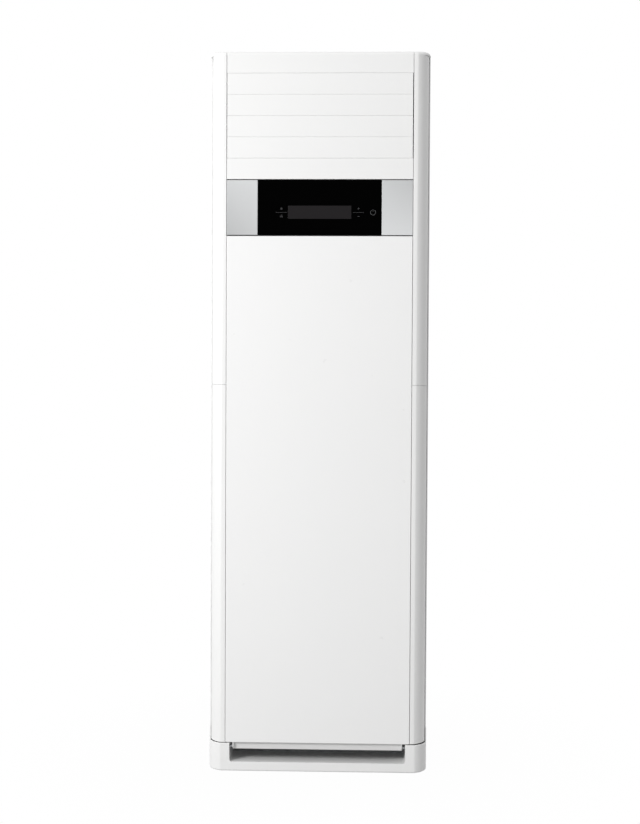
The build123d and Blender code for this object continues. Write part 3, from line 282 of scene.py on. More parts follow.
def addNode(tree, kind, source, values):
    node = tree.nodes.new(kind)
    for key, value in values.items():
        node.inputs[key].default_value = value
    tree.links.new(source, node.inputs["Vector"])
    return node


def mathNode(tree, operation, *sources):
    node = tree.nodes.new("ShaderNodeMath")
    node.operation = operation
    for socket, source in zip(node.inputs, sources):
        tree.links.new(source, socket)
    return node.outputs["Value"]


def rangeNode(tree, source, span):
    node = tree.nodes.new("ShaderNodeMapRange")
    for key, value in zip(("From Min", "From Max", "To Min", "To Max"), span):
        node.inputs[key].default_value = value
    tree.links.new(source, node.inputs["Value"])
    return node.outputs["Result"]


def splitNode(tree, source):
    node = tree.nodes.new("ShaderNodeSeparateXYZ")
    tree.links.new(source, node.inputs["Vector"])
    return node.outputs


def mixColours(tree, share, *colours):
    node = tree.nodes.new("ShaderNodeMix")
    node.data_type = "RGBA"
    tree.links.new(share, node.inputs[mixSockets["share"]])
    for socket, colour in zip(mixSockets["colours"], colours):
        if isinstance(colour, tuple):
            node.inputs[socket].default_value = colour
        else:
            tree.links.new(colour, node.inputs[socket])
    return node.outputs[mixSockets["result"]]


def scaled(base, factor):
    return tuple(min(1, part * factor) for part in base) + (1,)


def paintedSheenOf(tree, place, spans):
    # painted reflection: paler towards the glass, and towards the top on the left plate and the foot on the
    # right one
    split = splitNode(tree, place)
    outward = rangeNode(tree, mathNode(tree, "ABSOLUTE", split["X"]), spans["X"])
    upward = rangeNode(tree, split["Z"], spans["Z"])
    return mathNode(tree, "SUBTRACT", outward, mathNode(tree, "MULTIPLY", split["X"], upward))


def toneOf(tree, place, look):
    if "spangle" in look:
        flakes = addNode(tree, "ShaderNodeTexVoronoi", place, {"Scale": look["spangle"]})
        tone = tree.nodes.new("ShaderNodeSeparateColor")
        tree.links.new(flakes.outputs["Color"], tone.inputs["Color"])
        return tone.outputs["Red"]
    if "paintedSheen" in look:
        return paintedSheenOf(tree, place, look["paintedSheen"])
    broad = addNode(tree, "ShaderNodeTexNoise", place,
                    {"Scale": surface["broadScale"], "Detail": surface["broadDetail"]})
    return broad.outputs["Fac"]


def heightOf(tree, place, stretched, look):
    if "cells" in look:
        return addNode(tree, "ShaderNodeTexVoronoi", place, {"Scale": look["cells"]}).outputs["Distance"]
    if "weave" in look:
        strands = []
        for direction in ("Y", "Z"):
            wave = addNode(tree, "ShaderNodeTexWave", place, {"Scale": look["weave"]})
            wave.bands_direction = direction
            strands.append(wave.outputs["Fac"])
        return mathNode(tree, "MAXIMUM", *strands)
    if "tracks" in look:
        turned = addNode(tree, "ShaderNodeMapping", place, {"Rotation": (math.pi / 2, 0, 0)})
        fine = addNode(tree, "ShaderNodeTexBrick", turned.outputs["Vector"],
                       {"Scale": look["tracks"], "Mortar Size": surface["mortar"]})
        return fine.outputs["Fac"]
    fine = addNode(tree, "ShaderNodeTexNoise", stretched,
                   {"Scale": look["grain"], "Detail": surface["fineDetail"]})
    return fine.outputs["Fac"]


def makeFinish(name, look):
    material = bpy.data.materials.new(name)
    material.use_nodes = True
    tree = material.node_tree
    shader = tree.nodes["Principled BSDF"]
    shader.inputs["Metallic"].default_value = look.get("metal", 0)
    shader.inputs["Specular IOR Level"].default_value = look.get("shine", surface["shine"])
    place = tree.nodes.new("ShaderNodeTexCoord").outputs["Object"]
    mapping = addNode(tree, "ShaderNodeMapping", place, {"Scale": look.get("stretch", (1, 1, 1))})
    stretched = mapping.outputs["Vector"]

    # faint change of colour, a painted reflection across the silver plates, and paler lines on a circuit
    # board
    base, swing = look["base"], look["mottle"]
    colour = mixColours(tree, toneOf(tree, place, look), scaled(base, 1 - swing), scaled(base, 1 + swing))
    height = heightOf(tree, place, stretched, look)
    if "tracks" in look:
        colour = mixColours(tree, height, colour, scaled(base, surface["etch"]))
    tree.links.new(colour, shader.inputs["Base Color"])

    # fine surface: grain, cells, weave or tracks
    bump = tree.nodes.new("ShaderNodeBump")
    bump.inputs["Strength"].default_value = look["depth"]
    bump.inputs["Distance"].default_value = surface["bump"]
    tree.links.new(height, bump.inputs["Height"])
    tree.links.new(bump.outputs["Normal"], shader.inputs["Normal"])

    # roughness varies a little, as a moulded or painted skin does
    patches = addNode(tree, "ShaderNodeTexNoise", stretched,
                      {"Scale": surface["patchScale"], "Detail": surface["patchDetail"]})
    least, most = look["rough"] - surface["roughSwing"], look["rough"] + surface["roughSwing"]
    rough = rangeNode(tree, patches.outputs["Fac"], (0, 1, max(surface["leastRough"], least), most))
    tree.links.new(rough, shader.inputs["Roughness"])
    return material


finish = {name: makeFinish(name, look) for name, look in finishes.items()}
print("finishes made:", len(finish))


def paint(piece, material):
    piece.data.materials.clear()
    piece.data.materials.append(material)


def ready(piece, body, slot, coat, *nodes):
    paint(piece, finish[coat])
    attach(piece, body)
    if nodes:
        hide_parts(*nodes)


# Front columns: flat strip, crease and round corner, hollow and open to the back. Unlike the solids,
# they have a fine joint between the upper and lower ones, a shadow gap at the foot and a corner
# a little further in

cabinet = {"face": -208.0, "seam": 235.384, "trim": 234.384, "crease": 244.981, "cornerX": 227.24,
           "cornerY": -164.09, "cornerRadius": 47.36, "creaseAngle": 22, "turnSteps": 26,
           "arcEnd": -163.495, "jamb": -172.0, "tongueX": 272.0, "tongueY": -149.495, "overlap": 6.0,
           "wall": 2.5, "split": 985.5, "gap": 0.4, "base": 71.5, "top": 1821.0, "crown": 8.0,
           "crownSteps": 8, "beyond": -130.0, "longEdge": 50.0, "soft": 0.4, "sharpest": 40}
foot = {"gap": {-1: 2.0, 1: 3.0}, "inset": 8.0, "play": 0.2, "overlap": 1.0}


def makeFoot(bottom, side):
    c = cabinet
    seam = c["seam"] + foot["play"]
    sole = arc(c["cornerX"], c["cornerY"], c["cornerRadius"] - foot["inset"], -90 + c["creaseAngle"], 0,
               c["turnSteps"])
    plan = [(seam, c["jamb"]), (seam, c["face"] + foot["inset"])] + sole
    return outline("foot", [(side * x, y, bottom) for x, y in plan],
                   (0, 0, foot["gap"][side] + foot["overlap"]))


def makeColumn(name, node, bottom, top, side, crowned):
    c = cabinet
    near, facing = work["near"], work["facing"]
    around = arc(c["cornerX"], c["cornerY"], c["cornerRadius"], -90 + c["creaseAngle"], 0, c["turnSteps"])
    plan = [(c["seam"], c["beyond"]), (c["seam"], c["face"])] + around
    plan.append((c["cornerX"] + c["cornerRadius"], c["beyond"]))
    start = bottom if crowned else bottom + foot["gap"][side]
    piece = outline(name, [(side * x, y, start) for x, y in plan], (0, 0, top - start))
    startEdit(piece)
    if crowned:
        choose("edges", lambda edge: min(v.co.z for v in edge.verts) > (top - near) / 1000
               and middle(edge).y < (c["beyond"] - near) / 1000
               and abs(middle(edge).x) > (c["seam"] + near) / 1000)
        bpy.ops.mesh.bevel(offset=c["crown"] / 1000, segments=c["crownSteps"], affect="EDGES")
    selectAll()
    bpy.ops.mesh.bisect(plane_co=metres(0, c["arcEnd"], 0), plane_no=(0, 1, 0), clear_outer=True)
    selectAll()
    bpy.ops.mesh.bisect(plane_co=metres(0, c["jamb"], 0), plane_no=(0, 1, 0))
    choose("faces", lambda face: face.normal.x * side < -facing
           and face.calc_center_median().y > c["jamb"] / 1000
           and abs(face.calc_center_median().x) < (c["seam"] + near) / 1000)
    bpy.ops.mesh.delete(type="FACE")
    choose("edges", lambda edge: abs(abs(middle(edge).x) - c["crease"] / 1000) < work["weld"] / 1000
           and abs(edge.verts[0].co.z - edge.verts[1].co.z) > c["longEdge"] / 1000)
    bpy.ops.mesh.mark_sharp()
    endEdit()
    modify(piece, "SOLIDIFY", thickness=c["wall"] / 1000, offset=-1, use_even_offset=True)
    softenEdges(piece, c["soft"], sharpest=c["sharpest"])

    # tongue behind the side panel, and a roof or a foot
    inner, back = c["tongueX"] - c["wall"], c["arcEnd"] - c["overlap"]
    backs = [block("tongue", *spanned(side, (inner, back, bottom),
                                      (c["tongueX"], c["tongueY"], top - c["crown"])))]
    if crowned:
        backs.append(block("roof", *spanned(side, (c["seam"], back, top - c["wall"]),
                                            (c["tongueX"], c["tongueY"], top))))
    else:
        backs.append(makeFoot(bottom, side))
    joinPieces(piece, backs)
    ready(piece, "cabinet", "white_plastic", "whiteMoulding", node)


for side, hand in hands:
    makeColumn("lowerColumn" + hand.capitalize(), "column_lower_" + hand, cabinet["base"],
               cabinet["split"] - cabinet["gap"] / 2, side, False)
    makeColumn("upperColumn" + hand.capitalize(), "column_upper_" + hand,
               cabinet["split"] + cabinet["gap"] / 2, cabinet["top"], side, True)
print("columns made")


# Top cover: a crowned cap whose front edge lies on the mouldings

cap = {"half": 278.0, "cornerX": 245.0, "cornerY": -168.0, "cornerRadius": 33.0, "cornerSteps": 20,
       "rear": 208.0, "rearRadius": 12.0, "rearSteps": 8, "bottom": 1796.0, "top": 1824.0, "crown": 8.0,
       "crownSteps": 8, "plate": 3.0, "edge": 9.0, "wall": 2.5, "skirt": -161.995, "overlap": 1.0,
       "cutterHalf": 400.0, "cutterDrop": 20.0, "soft": 0.5, "sharpest": 40}


def mirrored(points):
    return points + [(-x, y) for x, y in reversed(points)]


def makeCap():
    c = cap
    plan = arc(c["cornerX"], c["cornerY"], c["cornerRadius"], -90, 0, c["cornerSteps"])
    plan += arc(c["half"] - c["rearRadius"], c["rear"] - c["rearRadius"], c["rearRadius"], 0, 90,
                c["rearSteps"])
    piece = outline("topCover", [(x, y, c["bottom"]) for x, y in mirrored(plan)],
                    (0, 0, c["top"] - c["bottom"]))
    startEdit(piece)
    choose("edges", lambda edge: min(v.co.z for v in edge.verts) > (c["top"] - work["near"]) / 1000)
    bpy.ops.mesh.bevel(offset=c["crown"] / 1000, segments=c["crownSteps"], affect="EDGES")
    endEdit()

    # the front part is only a plate, and the rest is hollow
    below = c["bottom"] - c["cutterDrop"]
    combine(piece, block("cutter", (-c["cutterHalf"], -c["cutterHalf"], below),
                         (c["cutterHalf"], c["skirt"], c["top"] - c["edge"])), "DIFFERENCE")
    within, behind = c["half"] - c["wall"], c["rear"] - c["wall"]
    turn = arc(within - c["rearRadius"] + c["wall"], behind - c["rearRadius"] + c["wall"],
               c["rearRadius"] - c["wall"], 0, 90, c["rearSteps"])
    hollow = mirrored([(within, c["skirt"] - c["overlap"])] + turn)
    combine(piece, outline("cutter", [(x, y, below) for x, y in hollow],
                           (0, 0, c["top"] - c["plate"] - c["bottom"] + c["cutterDrop"])), "DIFFERENCE")
    softenEdges(piece, c["soft"], sharpest=c["sharpest"])
    ready(piece, "cabinet", "white_plastic", "whiteMoulding", "top_cover")


makeCap()
print("cap made")


# Slats: slightly crowned face, bowed back, and a lip that tucks behind the slat below

slat = {"count": 4, "half": 26.47, "halfLength": 233.8, "rightLength": 233.1, "thick": 8.0, "edge": 0.6,
        "edgeSteps": 4, "crown": 0.3, "bow": 72.06, "steps": 12, "topDepth": 3.0, "lipFront": 4.2,
        "lipBack": 5.4, "lipDrop": 2.2, "lipOverlap": 2.0, "lipEnd": 215.384, "pinRadius": 3.0,
        "pinReach": 237.6, "pinOverlap": 3.0, "armX": 218.384, "armThick": 3.0, "armLength": 34.0,
        "armAngle": 60, "armRadius": 3.6, "armSteps": 12, "pegRadius": 2.0, "pegLength": 6.3,
        "soft": 0.4, "fineSoft": 0.3, "pinSoft": 0.5, "sharpest": 50}


def slatSection():
    s = slat
    half, steps = s["half"], s["steps"]
    centre = s["thick"] - s["bow"]
    points = arc(s["edge"], -half + s["edge"], s["edge"], 270, 180, s["edgeSteps"])
    for step in range(1, steps):
        height = (half - s["edge"]) * (2 * step / steps - 1)
        points.append((-s["crown"] * (1 - (height / half) ** 2), height))
    points += arc(s["edge"], half - s["edge"], s["edge"], 180, 90, s["edgeSteps"])
    points.append((s["topDepth"], half))
    top = math.sqrt(s["bow"] ** 2 - (s["topDepth"] - centre) ** 2)
    low = math.sqrt(s["bow"] ** 2 - (s["lipBack"] - centre) ** 2)
    for step in range(1, steps + 1):
        height = top - (top + low) * step / steps
        points.append((centre + math.sqrt(s["bow"] ** 2 - height ** 2), height))
    points.append((s["lipBack"], -half))
    return points


def makeArm(y, z):
    s = slat
    lean = -s["armAngle"]
    tip = (y + s["armLength"] * math.cos(math.radians(lean)),
           z + s["armLength"] * math.sin(math.radians(lean)))
    around = arc(y, z, s["armRadius"], lean + 90, lean + 270, s["armSteps"])
    around += arc(*tip, s["armRadius"], lean - 90, lean + 90, s["armSteps"])
    arm = outline("arm", [(s["armX"], *point) for point in around], (s["armThick"], 0, 0))
    softenEdges(arm, s["soft"])
    peg = rod("peg", (s["armX"], *tip), (s["armX"] + s["pegLength"], *tip), s["pegRadius"])
    softenEdges(peg, s["fineSoft"])
    return [arm, peg]


def makeSlat(number):
    s = slat
    node = f"louver_{number}"
    pivot = next(joint for joint in frame["joints"] if joint["name"] == node + "_tilt")["pos_m"]
    hinge, level = pivot[1] * 1000, pivot[2] * 1000
    face, reach, low = cabinet["face"], s["halfLength"], level - s["half"]
    body = outline(f"slat{number}", [(-reach, face + y, level + z) for y, z in slatSection()],
                   (reach + s["rightLength"], 0, 0))
    softenEdges(body, s["soft"], sharpest=s["sharpest"])
    lip = block("lip", (-reach, face + s["lipFront"], low - s["lipDrop"]),
                (s["lipEnd"], face + s["lipBack"], low + s["lipOverlap"]))
    softenEdges(lip, s["fineSoft"])
    pins = []
    for side in (-1, 1):
        pin = rod("pin", (side * (reach - s["pinOverlap"]), hinge, level),
                  (side * s["pinReach"], hinge, level), s["pinRadius"])
        softenEdges(pin, s["pinSoft"])
        pins.append(pin)
    joinPieces(body, [lip] + makeArm(hinge, level))
    ready(body, node, "white_plastic", "whiteMoulding", node)
    joinPieces(pins[0], pins[1:])
    pins[0].name = f"slatPins{number}"
    ready(pins[0], node, "dark_plastic", "darkMoulding", node)


for number in range(1, slat["count"] + 1):
    makeSlat(number)
print("slats made")


# Control strip: black glass with a fine framing groove, its window, touch keys and silver ends

strip = {"bottom": 1363.0, "top": 1501.2, "glassHalf": 156.0, "thick": 3.5, "windowHalf": 79.5,
         "windowMiddle": 1420.1, "windowHalfHeight": 16.5, "frame": 4.6, "groove": 0.8, "grooveDepth": 0.25,
         "border": 1.0, "paneGap": 0.1, "paneBack": 3.0, "paneDeeper": 0.2, "plateGap": 0.4,
         "plateDrop": 0.4, "soft": 0.4, "sharpest": 50, "plateSoft": 0.8, "plateSteps": 3}


def makeGlass():
    s = strip
    face = cabinet["face"]
    glass = block("controlGlass", (-s["glassHalf"], face, s["bottom"]),
                  (s["glassHalf"], face + s["thick"], s["top"]))
    startEdit(glass)
    choose("faces", lambda part: part.normal.y < -work["facing"])
    bpy.ops.mesh.inset(thickness=s["frame"] / 1000)
    for depth in (-s["grooveDepth"], s["grooveDepth"]):
        bpy.ops.mesh.inset(thickness=s["groove"] / 1000, depth=depth / 1000)
    # the opening for the window, sunk from the innermost face
    bpy.ops.mesh.inset(thickness=s["border"] / 1000)
    border = s["frame"] + 2 * s["groove"] + s["border"]
    middleZ = (s["bottom"] + s["top"]) / 2
    halfTall = (s["top"] - s["bottom"]) / 2 - border
    bpy.ops.transform.resize(value=((s["windowHalf"] + s["paneGap"]) / (s["glassHalf"] - border), 1,
                                    (s["windowHalfHeight"] + s["paneGap"]) / halfTall),
                             center_override=metres(0, face, middleZ))
    bpy.ops.transform.translate(value=metres(0, 0, s["windowMiddle"] - middleZ))
    sink = metres(0, s["paneBack"] + s["paneDeeper"], 0)
    bpy.ops.mesh.extrude_region_move(TRANSFORM_OT_translate={"value": sink})
    endEdit()
    softenEdges(glass, s["soft"], sharpest=s["sharpest"])
    ready(glass, "cabinet", "black_glass", "blackGlass", "control_glass")


def makeWindow():
    s = strip
    face = cabinet["face"]
    pane = block("displayWindow", (-s["windowHalf"], face, s["windowMiddle"] - s["windowHalfHeight"]),
                 (s["windowHalf"], face + s["paneBack"], s["windowMiddle"] + s["windowHalfHeight"]))
    softenEdges(pane, s["soft"], sharpest=s["sharpest"])
    ready(pane, "cabinet", "window", "windowGlass", "display_window")


def makePlates():
    s = strip
    face = cabinet["face"]
    for side, hand in hands:
        ends = spanned(side, (s["glassHalf"] + s["plateGap"], face, s["bottom"]),
                       (cabinet["trim"], face + s["thick"], s["top"] - s["plateDrop"]))
        plate = block("silverPlate" + hand.capitalize(), *ends)
        softenEdges(plate, s["plateSoft"], s["plateSteps"])
        ready(plate, "cabinet", "silver_plate", "silver", "fascia_plate_" + hand)


makeGlass()
makeWindow()
makePlates()

keys = {"leftX": -96.2, "rightX": 97.9, "powerX": 134.4, "level": 1419.6, "rise": 9.7, "ruleHalf": 14.2,
        "rule": 0.55, "mark": 2.9, "stroke": 0.8, "lift": 0.1, "soft": 0.04, "crystalExtra": 0.6,
        "bladeReach": 1.9, "bladeRadius": 1.5, "bladeStroke": 0.7, "bladeSpan": (-150, 60),
        "bladeSteps": 10, "hubRadius": 0.5, "hubSpan": (0, 359), "hubSteps": 12, "powerRadius": 6.4,
        "powerStroke": 1.1, "powerSpan": (122, 418), "powerSteps": 24, "powerBarDrop": 1.2,
        "powerBarHalf": (0.55, 3.2)}


def bar(x, z, halfWide, halfTall, turn=0):
    deselect()
    bpy.ops.mesh.primitive_cube_add(size=1, location=metres(x, cabinet["face"] - keys["lift"] / 2, z),
                                    rotation=(0, math.radians(turn), 0))
    piece = bpy.context.object
    piece.scale = metres(2 * halfWide, keys["lift"], 2 * halfTall)
    settle(piece)
    softenEdges(piece, keys["soft"], 1)
    return piece


def ring(x, z, radius, stroke, first, last, steps):
    inner = arc(x, z, radius - stroke / 2, first, last, steps)
    outer = arc(x, z, radius + stroke / 2, last, first, steps)
    return outline("ring", [(a, cabinet["face"], b) for a, b in inner + outer], (0, -keys["lift"], 0))


def makeKeys():
    k = keys
    parts = []
    for x in (k["leftX"], k["rightX"]):
        parts.append(bar(x, k["level"], k["ruleHalf"], k["rule"] / 2))
    # a plus above the right rule and a minus under it
    high, low = k["level"] + k["rise"], k["level"] - k["rise"]
    parts.append(bar(k["rightX"], high, k["mark"], k["stroke"] / 2))
    parts.append(bar(k["rightX"], high, k["stroke"] / 2, k["mark"]))
    parts.append(bar(k["rightX"], low, k["mark"], k["stroke"] / 2))
    # a snow crystal above the left rule
    for turn in (0, 60, 120):
        parts.append(bar(k["leftX"], high, k["stroke"] / 2, k["mark"] + k["crystalExtra"], turn))
    # a small three-bladed fan under it
    first, last = k["bladeSpan"]
    for turn in (90, 210, 330):
        angle = math.radians(turn)
        parts.append(ring(k["leftX"] + k["bladeReach"] * math.cos(angle),
                          low + k["bladeReach"] * math.sin(angle), k["bladeRadius"], k["bladeStroke"],
                          turn + first, turn + last, k["bladeSteps"]))
    parts.append(ring(k["leftX"], low, k["hubRadius"], k["stroke"], *k["hubSpan"], k["hubSteps"]))
    # the usual standby mark
    parts.append(ring(k["powerX"], k["level"], k["powerRadius"], k["powerStroke"], *k["powerSpan"],
                      k["powerSteps"]))
    parts.append(bar(k["powerX"], k["level"] + k["powerRadius"] - k["powerBarDrop"], *k["powerBarHalf"]))
    joinPieces(parts[0], parts[1:])
    parts[0].name = "touchKeys"
    ready(parts[0], "cabinet", "window", "print")


makeKeys()
print("control strip made")


# The finger grip in each side panel: the strip of sheet in front of it runs on unbroken, as far as
# the rounded outline of the cup

grip = {"front": -146.495, "long": 96.0, "bottom": 876.0, "tall": 86.0, "radius": 22.0, "turnSteps": 8,
        "outer": 278.0, "wall": 2.5, "rim": -161.995, "cutterHalf": 10.0}


def makeGripFront(side):
    g = grip
    radius, steps = g["radius"], g["turnSteps"]
    front, back = g["front"] + radius, g["front"] + g["long"] - radius
    low, high = g["bottom"] + radius, g["bottom"] + g["tall"] - radius
    plate = block("gripFront", *spanned(side, (g["outer"] - g["wall"], g["rim"], g["bottom"]),
                                        (g["outer"], front, g["bottom"] + g["tall"])))
    cup = arc(front, low, radius, 180, 270, steps) + arc(back, low, radius, 270, 360, steps)
    cup += arc(back, high, radius, 0, 90, steps) + arc(front, high, radius, 90, 180, steps)
    cutter = outline("cutter", [(side * (g["outer"] - g["cutterHalf"]), y, z) for y, z in cup],
                     (side * 2 * g["cutterHalf"], 0, 0))
    combine(plate, cutter, "DIFFERENCE")
    return plate


# The outer skins keep the form of their solids, with softened edges

skins = {
    "base_tray": ("plinth", "cabinet", "white_plastic", "whiteMoulding", 0.6),
    "side_panel_left": ("sidePanelLeft", "cabinet", "white_steel", "whiteCoat", 0.5),
    "side_panel_right": ("sidePanelRight", "cabinet", "white_steel", "whiteCoat", 0.5),
    "back_panel_lower": ("backPanelLower", "cabinet", "white_steel", "whiteCoat", 0.3),
    "back_panel_upper": ("backPanelUpper", "cabinet", "white_steel", "whiteCoat", 0.3),
    "outlet_frame": ("outletFrame", "cabinet", "white_plastic", "whiteMoulding", 0.4),
    "front_panel": ("frontPanel", "front_panel", "white_steel", "whiteCoat", 0.4),
    "intake_grille_left": ("intakeGrilleLeft", "grille_left", "white_plastic", "whiteMoulding", 0.4),
    "intake_grille_right": ("intakeGrilleRight", "grille_right", "white_plastic", "whiteMoulding", 0.4),
    "fascia_housing": ("fasciaHousing", "cabinet", "grey_plastic", "greyMoulding", 0.5),
    "electrical_cover": ("electricalCover", "cabinet", "zinc_steel", "zinc", 0.4),
}


def roundedCopy(node, name, body, slot, coat, width, filler=None):
    piece = copySolid(node, name)
    if filler:
        combine(piece, filler, "UNION")
    startEdit(piece)
    selectAll()
    bpy.ops.mesh.dissolve_limited(angle_limit=math.radians(work["flat"]))
    endEdit()
    softenEdges(piece, width)
    ready(piece, body, slot, coat, node)


fillers = {"side_panel_" + hand: makeGripFront(side) for side, hand in hands}
for node, (name, body, slot, coat, width) in skins.items():
    roundedCopy(node, name, body, slot, coat, width, fillers.get(node))
print("skins softened")


# Toe pocket in the plinth: its back wall in grey as painted shade, and the bottom rail of the front panel
# with its pins, the rail in a darker white as painted shade

toe = {"wallBehind": 60, "halfWide": 224, "railHalf": 216.0, "railFront": -199.0, "railThick": 6.0,
       "railTop": 73.5, "railFoot": 55.0, "railSoft": 0.8, "railSteps": 3, "lugThick": 3.0,
       "lugRadius": 4.5, "lugSteps": 8, "overlap": 1.0, "hingeY": -203.0, "hingeZ": 63.0,
       "pinRadius": 2.5, "pinReach": 228.5, "soft": 0.4}


def makeRail():
    t = toe
    rail = block("panelRail", (-t["railHalf"], t["railFront"], t["railFoot"]),
                 (t["railHalf"], t["railFront"] + t["railThick"], t["railTop"]))
    softenEdges(rail, t["railSoft"], t["railSteps"])
    lugs, pins = [], []
    within = t["railFront"] + t["overlap"]
    for side in (-1, 1):
        turn = arc(t["hingeY"], t["hingeZ"], t["lugRadius"], 180, 270, t["lugSteps"])
        section = [(within, t["railTop"]), (t["hingeY"] - t["lugRadius"], t["railTop"])] + turn
        section.append((within, t["hingeZ"] - t["lugRadius"]))
        lug = outline("lug", [(side * t["railHalf"], y, z) for y, z in section],
                      (-side * t["lugThick"], 0, 0))
        softenEdges(lug, t["soft"])
        pin = rod("pin", (side * (t["railHalf"] - t["overlap"]), t["hingeY"], t["hingeZ"]),
                  (side * t["pinReach"], t["hingeY"], t["hingeZ"]), t["pinRadius"])
        softenEdges(pin, t["soft"])
        lugs.append(lug)
        pins.append(pin)
    joinPieces(rail, lugs)
    joinPieces(pins[0], pins[1:])
    pins[0].name = "railPins"
    ready(pins[0], "front_panel", "grey_plastic", "greyMoulding", "panel_rail")
    # the rail takes the darker white moulding, painted shade under the panel
    ready(rail, "front_panel", "white_plastic", "paintedShadeMoulding", "panel_rail")


def paintPocketShade():
    plinth = bpy.data.objects["plinth"].data
    # painted shade: the faces of the pocket's back wall take the grey moulding, darker than the plinth,
    # where the recess is in shade
    plinth.materials.append(finish["greyMoulding"])
    wall = (cabinet["face"] + toe["wallBehind"]) / 1000
    for face in plinth.polygons:
        inPocket = face.center.y > wall and abs(face.center.x) < toe["halfWide"] / 1000
        if inPocket and face.normal.y < -work["facing"]:
            face.material_index = 1


makeRail()
paintPocketShade()
print("toe pocket made")


# Rubber gland in the line hole, with an opening round each union

gland = {"x": 186.0, "z": 213.5, "radius": 40.0, "play": 0.2, "sides": 48, "lip": 3.0, "front": 197.5,
         "back": 208.8, "groove": 0.5, "unions": ((200.0, 225.0, 12.3), (172.0, 202.0, 6.4)),
         "cutterExtra": 5.0, "cutterSides": 32, "soft": 0.3}


def makeGland():
    g = gland
    plug = rod("lineGland", (g["x"], g["front"], g["z"]), (g["x"], g["back"], g["z"]),
               g["radius"] - g["play"], g["sides"])
    startEdit(plug)
    choose("faces", lambda face: face.normal.y > work["facing"])
    bpy.ops.mesh.inset(thickness=g["lip"] / 1000)
    bpy.ops.mesh.inset(thickness=g["groove"] / 1000, depth=-g["groove"] / 1000)
    endEdit()
    for x, z, radius in g["unions"]:
        cutter = rod("cutter", (x, g["front"] - g["cutterExtra"], z), (x, g["back"] + g["cutterExtra"], z),
                     radius, g["cutterSides"])
        combine(plug, cutter, "DIFFERENCE")
    softenEdges(plug, g["soft"])
    ready(plug, "cabinet", "dark_plastic", "darkMoulding")


makeGland()
print("gland made")


# Upright vanes behind the slats

vane = {"count": 6, "soft": 0.5}
for number in range(1, vane["count"] + 1):
    roundedCopy(f"vane_{number}", f"vane{number}", f"vane_{number}", "dark_plastic", "darkMoulding",
                vane["soft"])
print("vanes made")


# Solids whose shape is right keep it and only get their finish

dressing = {
    "whiteMoulding": ["louver_link"],
    "greyMoulding": ["louver_drive_arm", "vane_link", "louver_motor", "vane_motor", "blower_housing",
                     "bell_mouth"],
    "darkMoulding": ["impeller", "drain_pan"],
    "zinc": ["floor_pan", "plenum_cover", "partition_deck", "electrical_box", "motor_bracket"],
    "foam": ["air_duct", "panel_foam"],
    "copper": ["coil_end_left", "coil_end_right", "suction_pipe", "liquid_pipe"],
    "motorEnamel": ["fan_motor"],
    "turnedSteel": ["fan_shaft"],
    "hose": ["drain_hose"],
    "board": ["display_board", "control_board"],
    "screen": ["filter_left", "filter_right"],
}
for coat, nodes in dressing.items():
    for node in nodes:
        paint(frame["nodes"][node], finish[coat])
print("solids dressed")


# Fins of the coil: thin plates in the outline of the block, side by side between its two ends

coil = {"pitch": 3.0, "fin": 0.5}


def makeFins():
    low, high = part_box("evaporator")
    wide = high[0] - low[0]
    fins = copySolid("evaporator", "coilFins")
    # only the right end of the block is kept, and moved to the left
    startEdit(fins)
    choose("faces", lambda face: face.normal.x < work["facing"])
    bpy.ops.mesh.delete(type="FACE")
    selectAll()
    bpy.ops.transform.translate(value=(-wide, 0, 0))
    endEdit()
    modify(fins, "SOLIDIFY", thickness=coil["fin"] / 1000, offset=1)
    modify(fins, "ARRAY", count=int(wide * 1000 / coil["pitch"]), use_relative_offset=False,
           use_constant_offset=True, constant_offset_displace=metres(coil["pitch"], 0, 0))
    ready(fins, "cabinet", "fins", "finStock", "evaporator")


makeFins()
print("fins made")


# Floor, backdrop and light, in metres

studio = {"floorHalf": 9.0, "floorDrop": 0.0003, "floorGrey": 0.42, "floorGlow": 0.985, "fade": (0.35, 0.9),
          "fill": ((0.0, 0.46), (0.15, 0.8), (0.78, 0.685), (1.0, 0.26)), "frontSpan": (-0.75, -0.2),
          "frontDim": 0.25, "keyPlace": (-2.2, -2.6, 1.9), "keyAim": (0.0, -0.2, 1.2), "keySize": 1.1,
          "keyPower": 65}


def seenShare(tree):
    # one where the camera looks, straight or in a reflection, and nothing in the light on the object
    path = tree.nodes.new("ShaderNodeLightPath")
    share = path.outputs["Is Camera Ray"]
    for kind in ("Is Glossy Ray", "Is Transmission Ray"):
        share = mathNode(tree, "MAXIMUM", share, path.outputs[kind])
    return share


def blendShaders(tree, share, first, second, end):
    blend = tree.nodes.new("ShaderNodeMixShader")
    for socket, source in zip(blend.inputs, (share, first.outputs[0], second.outputs[0])):
        tree.links.new(source, socket)
    tree.links.new(blend.outputs[0], tree.nodes.new(end).inputs["Surface"])


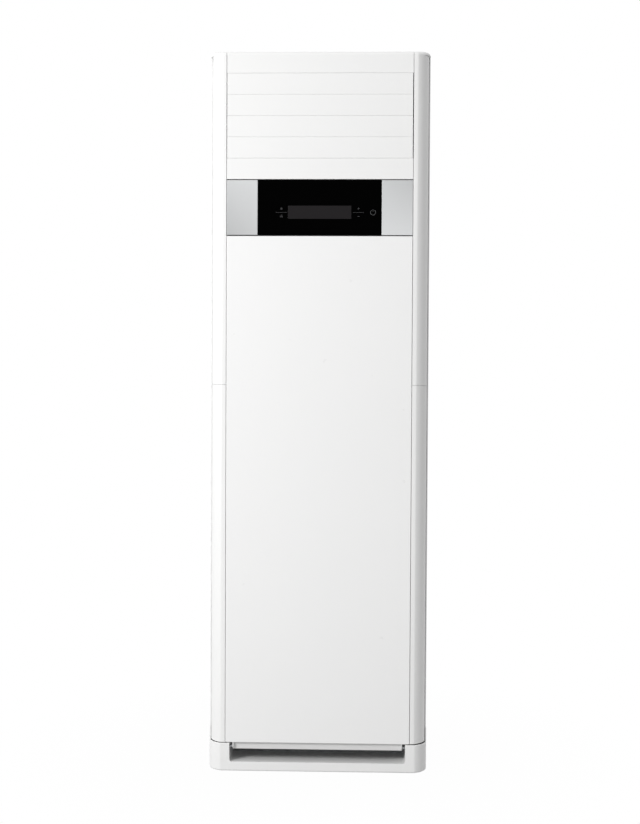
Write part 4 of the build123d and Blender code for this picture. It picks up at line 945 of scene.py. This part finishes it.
def makeFloor():
    s = studio
    deselect()
    bpy.ops.mesh.primitive_plane_add(size=2 * s["floorHalf"], location=(0, 0, -s["floorDrop"]))
    floor = bpy.context.object
    floor.name = "floor"
    material = bpy.data.materials.new("paleFloor")
    material.use_nodes = True
    tree = material.node_tree
    tree.nodes.clear()
    matt = tree.nodes.new("ShaderNodeBsdfDiffuse")
    matt.inputs["Color"].default_value = (s["floorGrey"],) * 3 + (1,)
    glow = tree.nodes.new("ShaderNodeEmission")
    glow.inputs["Strength"].default_value = 1
    # the floor fades into the backdrop away from the object
    coords = tree.nodes.new("ShaderNodeTexCoord")
    away = tree.nodes.new("ShaderNodeVectorMath")
    away.operation = "LENGTH"
    tree.links.new(coords.outputs["Object"], away.inputs[0])
    fade = rangeNode(tree, away.outputs["Value"], s["fade"] + (s["floorGlow"], 1))
    share = mathNode(tree, "MULTIPLY", seenShare(tree), fade)
    blendShaders(tree, share, matt, glow, "ShaderNodeOutputMaterial")
    paint(floor, material)


def makeSky():
    s = studio
    world = bpy.data.worlds.new("studio")
    scene.world = world
    world.use_nodes = True
    tree = world.node_tree
    tree.nodes.clear()
    fill = tree.nodes.new("ShaderNodeBackground")
    shown = tree.nodes.new("ShaderNodeBackground")
    for background in (fill, shown):
        background.inputs["Color"].default_value = (1, 1, 1, 1)
    split = splitNode(tree, tree.nodes.new("ShaderNodeTexCoord").outputs["Generated"])
    # light on the object, from left to right
    levels = tree.nodes.new("ShaderNodeValToRGB")
    stops = levels.color_ramp.elements
    while len(stops) < len(s["fill"]):
        stops.new(0.5)
    for stop, (position, level) in zip(stops, s["fill"]):
        stop.position = position
        stop.color = (level, level, level, 1)
    tree.links.new(rangeNode(tree, split["X"], (-1, 1, 0, 1)), levels.inputs["Fac"])
    tree.links.new(levels.outputs["Color"], fill.inputs["Strength"])
    # white to the camera, and dimmer in front where only reflections show it
    depth = rangeNode(tree, split["Y"], s["frontSpan"] + (s["frontDim"], 1))
    path = tree.nodes.new("ShaderNodeLightPath")
    bright = mathNode(tree, "MAXIMUM", path.outputs["Is Camera Ray"], depth)
    tree.links.new(bright, shown.inputs["Strength"])
    blendShaders(tree, seenShare(tree), fill, shown, "ShaderNodeOutputWorld")


def makeKey():
    s = studio
    lamp = bpy.data.lights.new("key", "AREA")
    lamp.shape = "DISK"
    lamp.size = s["keySize"]
    lamp.energy = s["keyPower"]
    key = bpy.data.objects.new("key", lamp)
    scene.collection.objects.link(key)
    key.visible_camera = False
    key.location = s["keyPlace"]
    key.rotation_euler = (Vector(s["keyAim"]) - Vector(s["keyPlace"])).to_track_quat("-Z", "Y").to_euler()


makeFloor()
makeSky()
makeKey()
print("studio made")
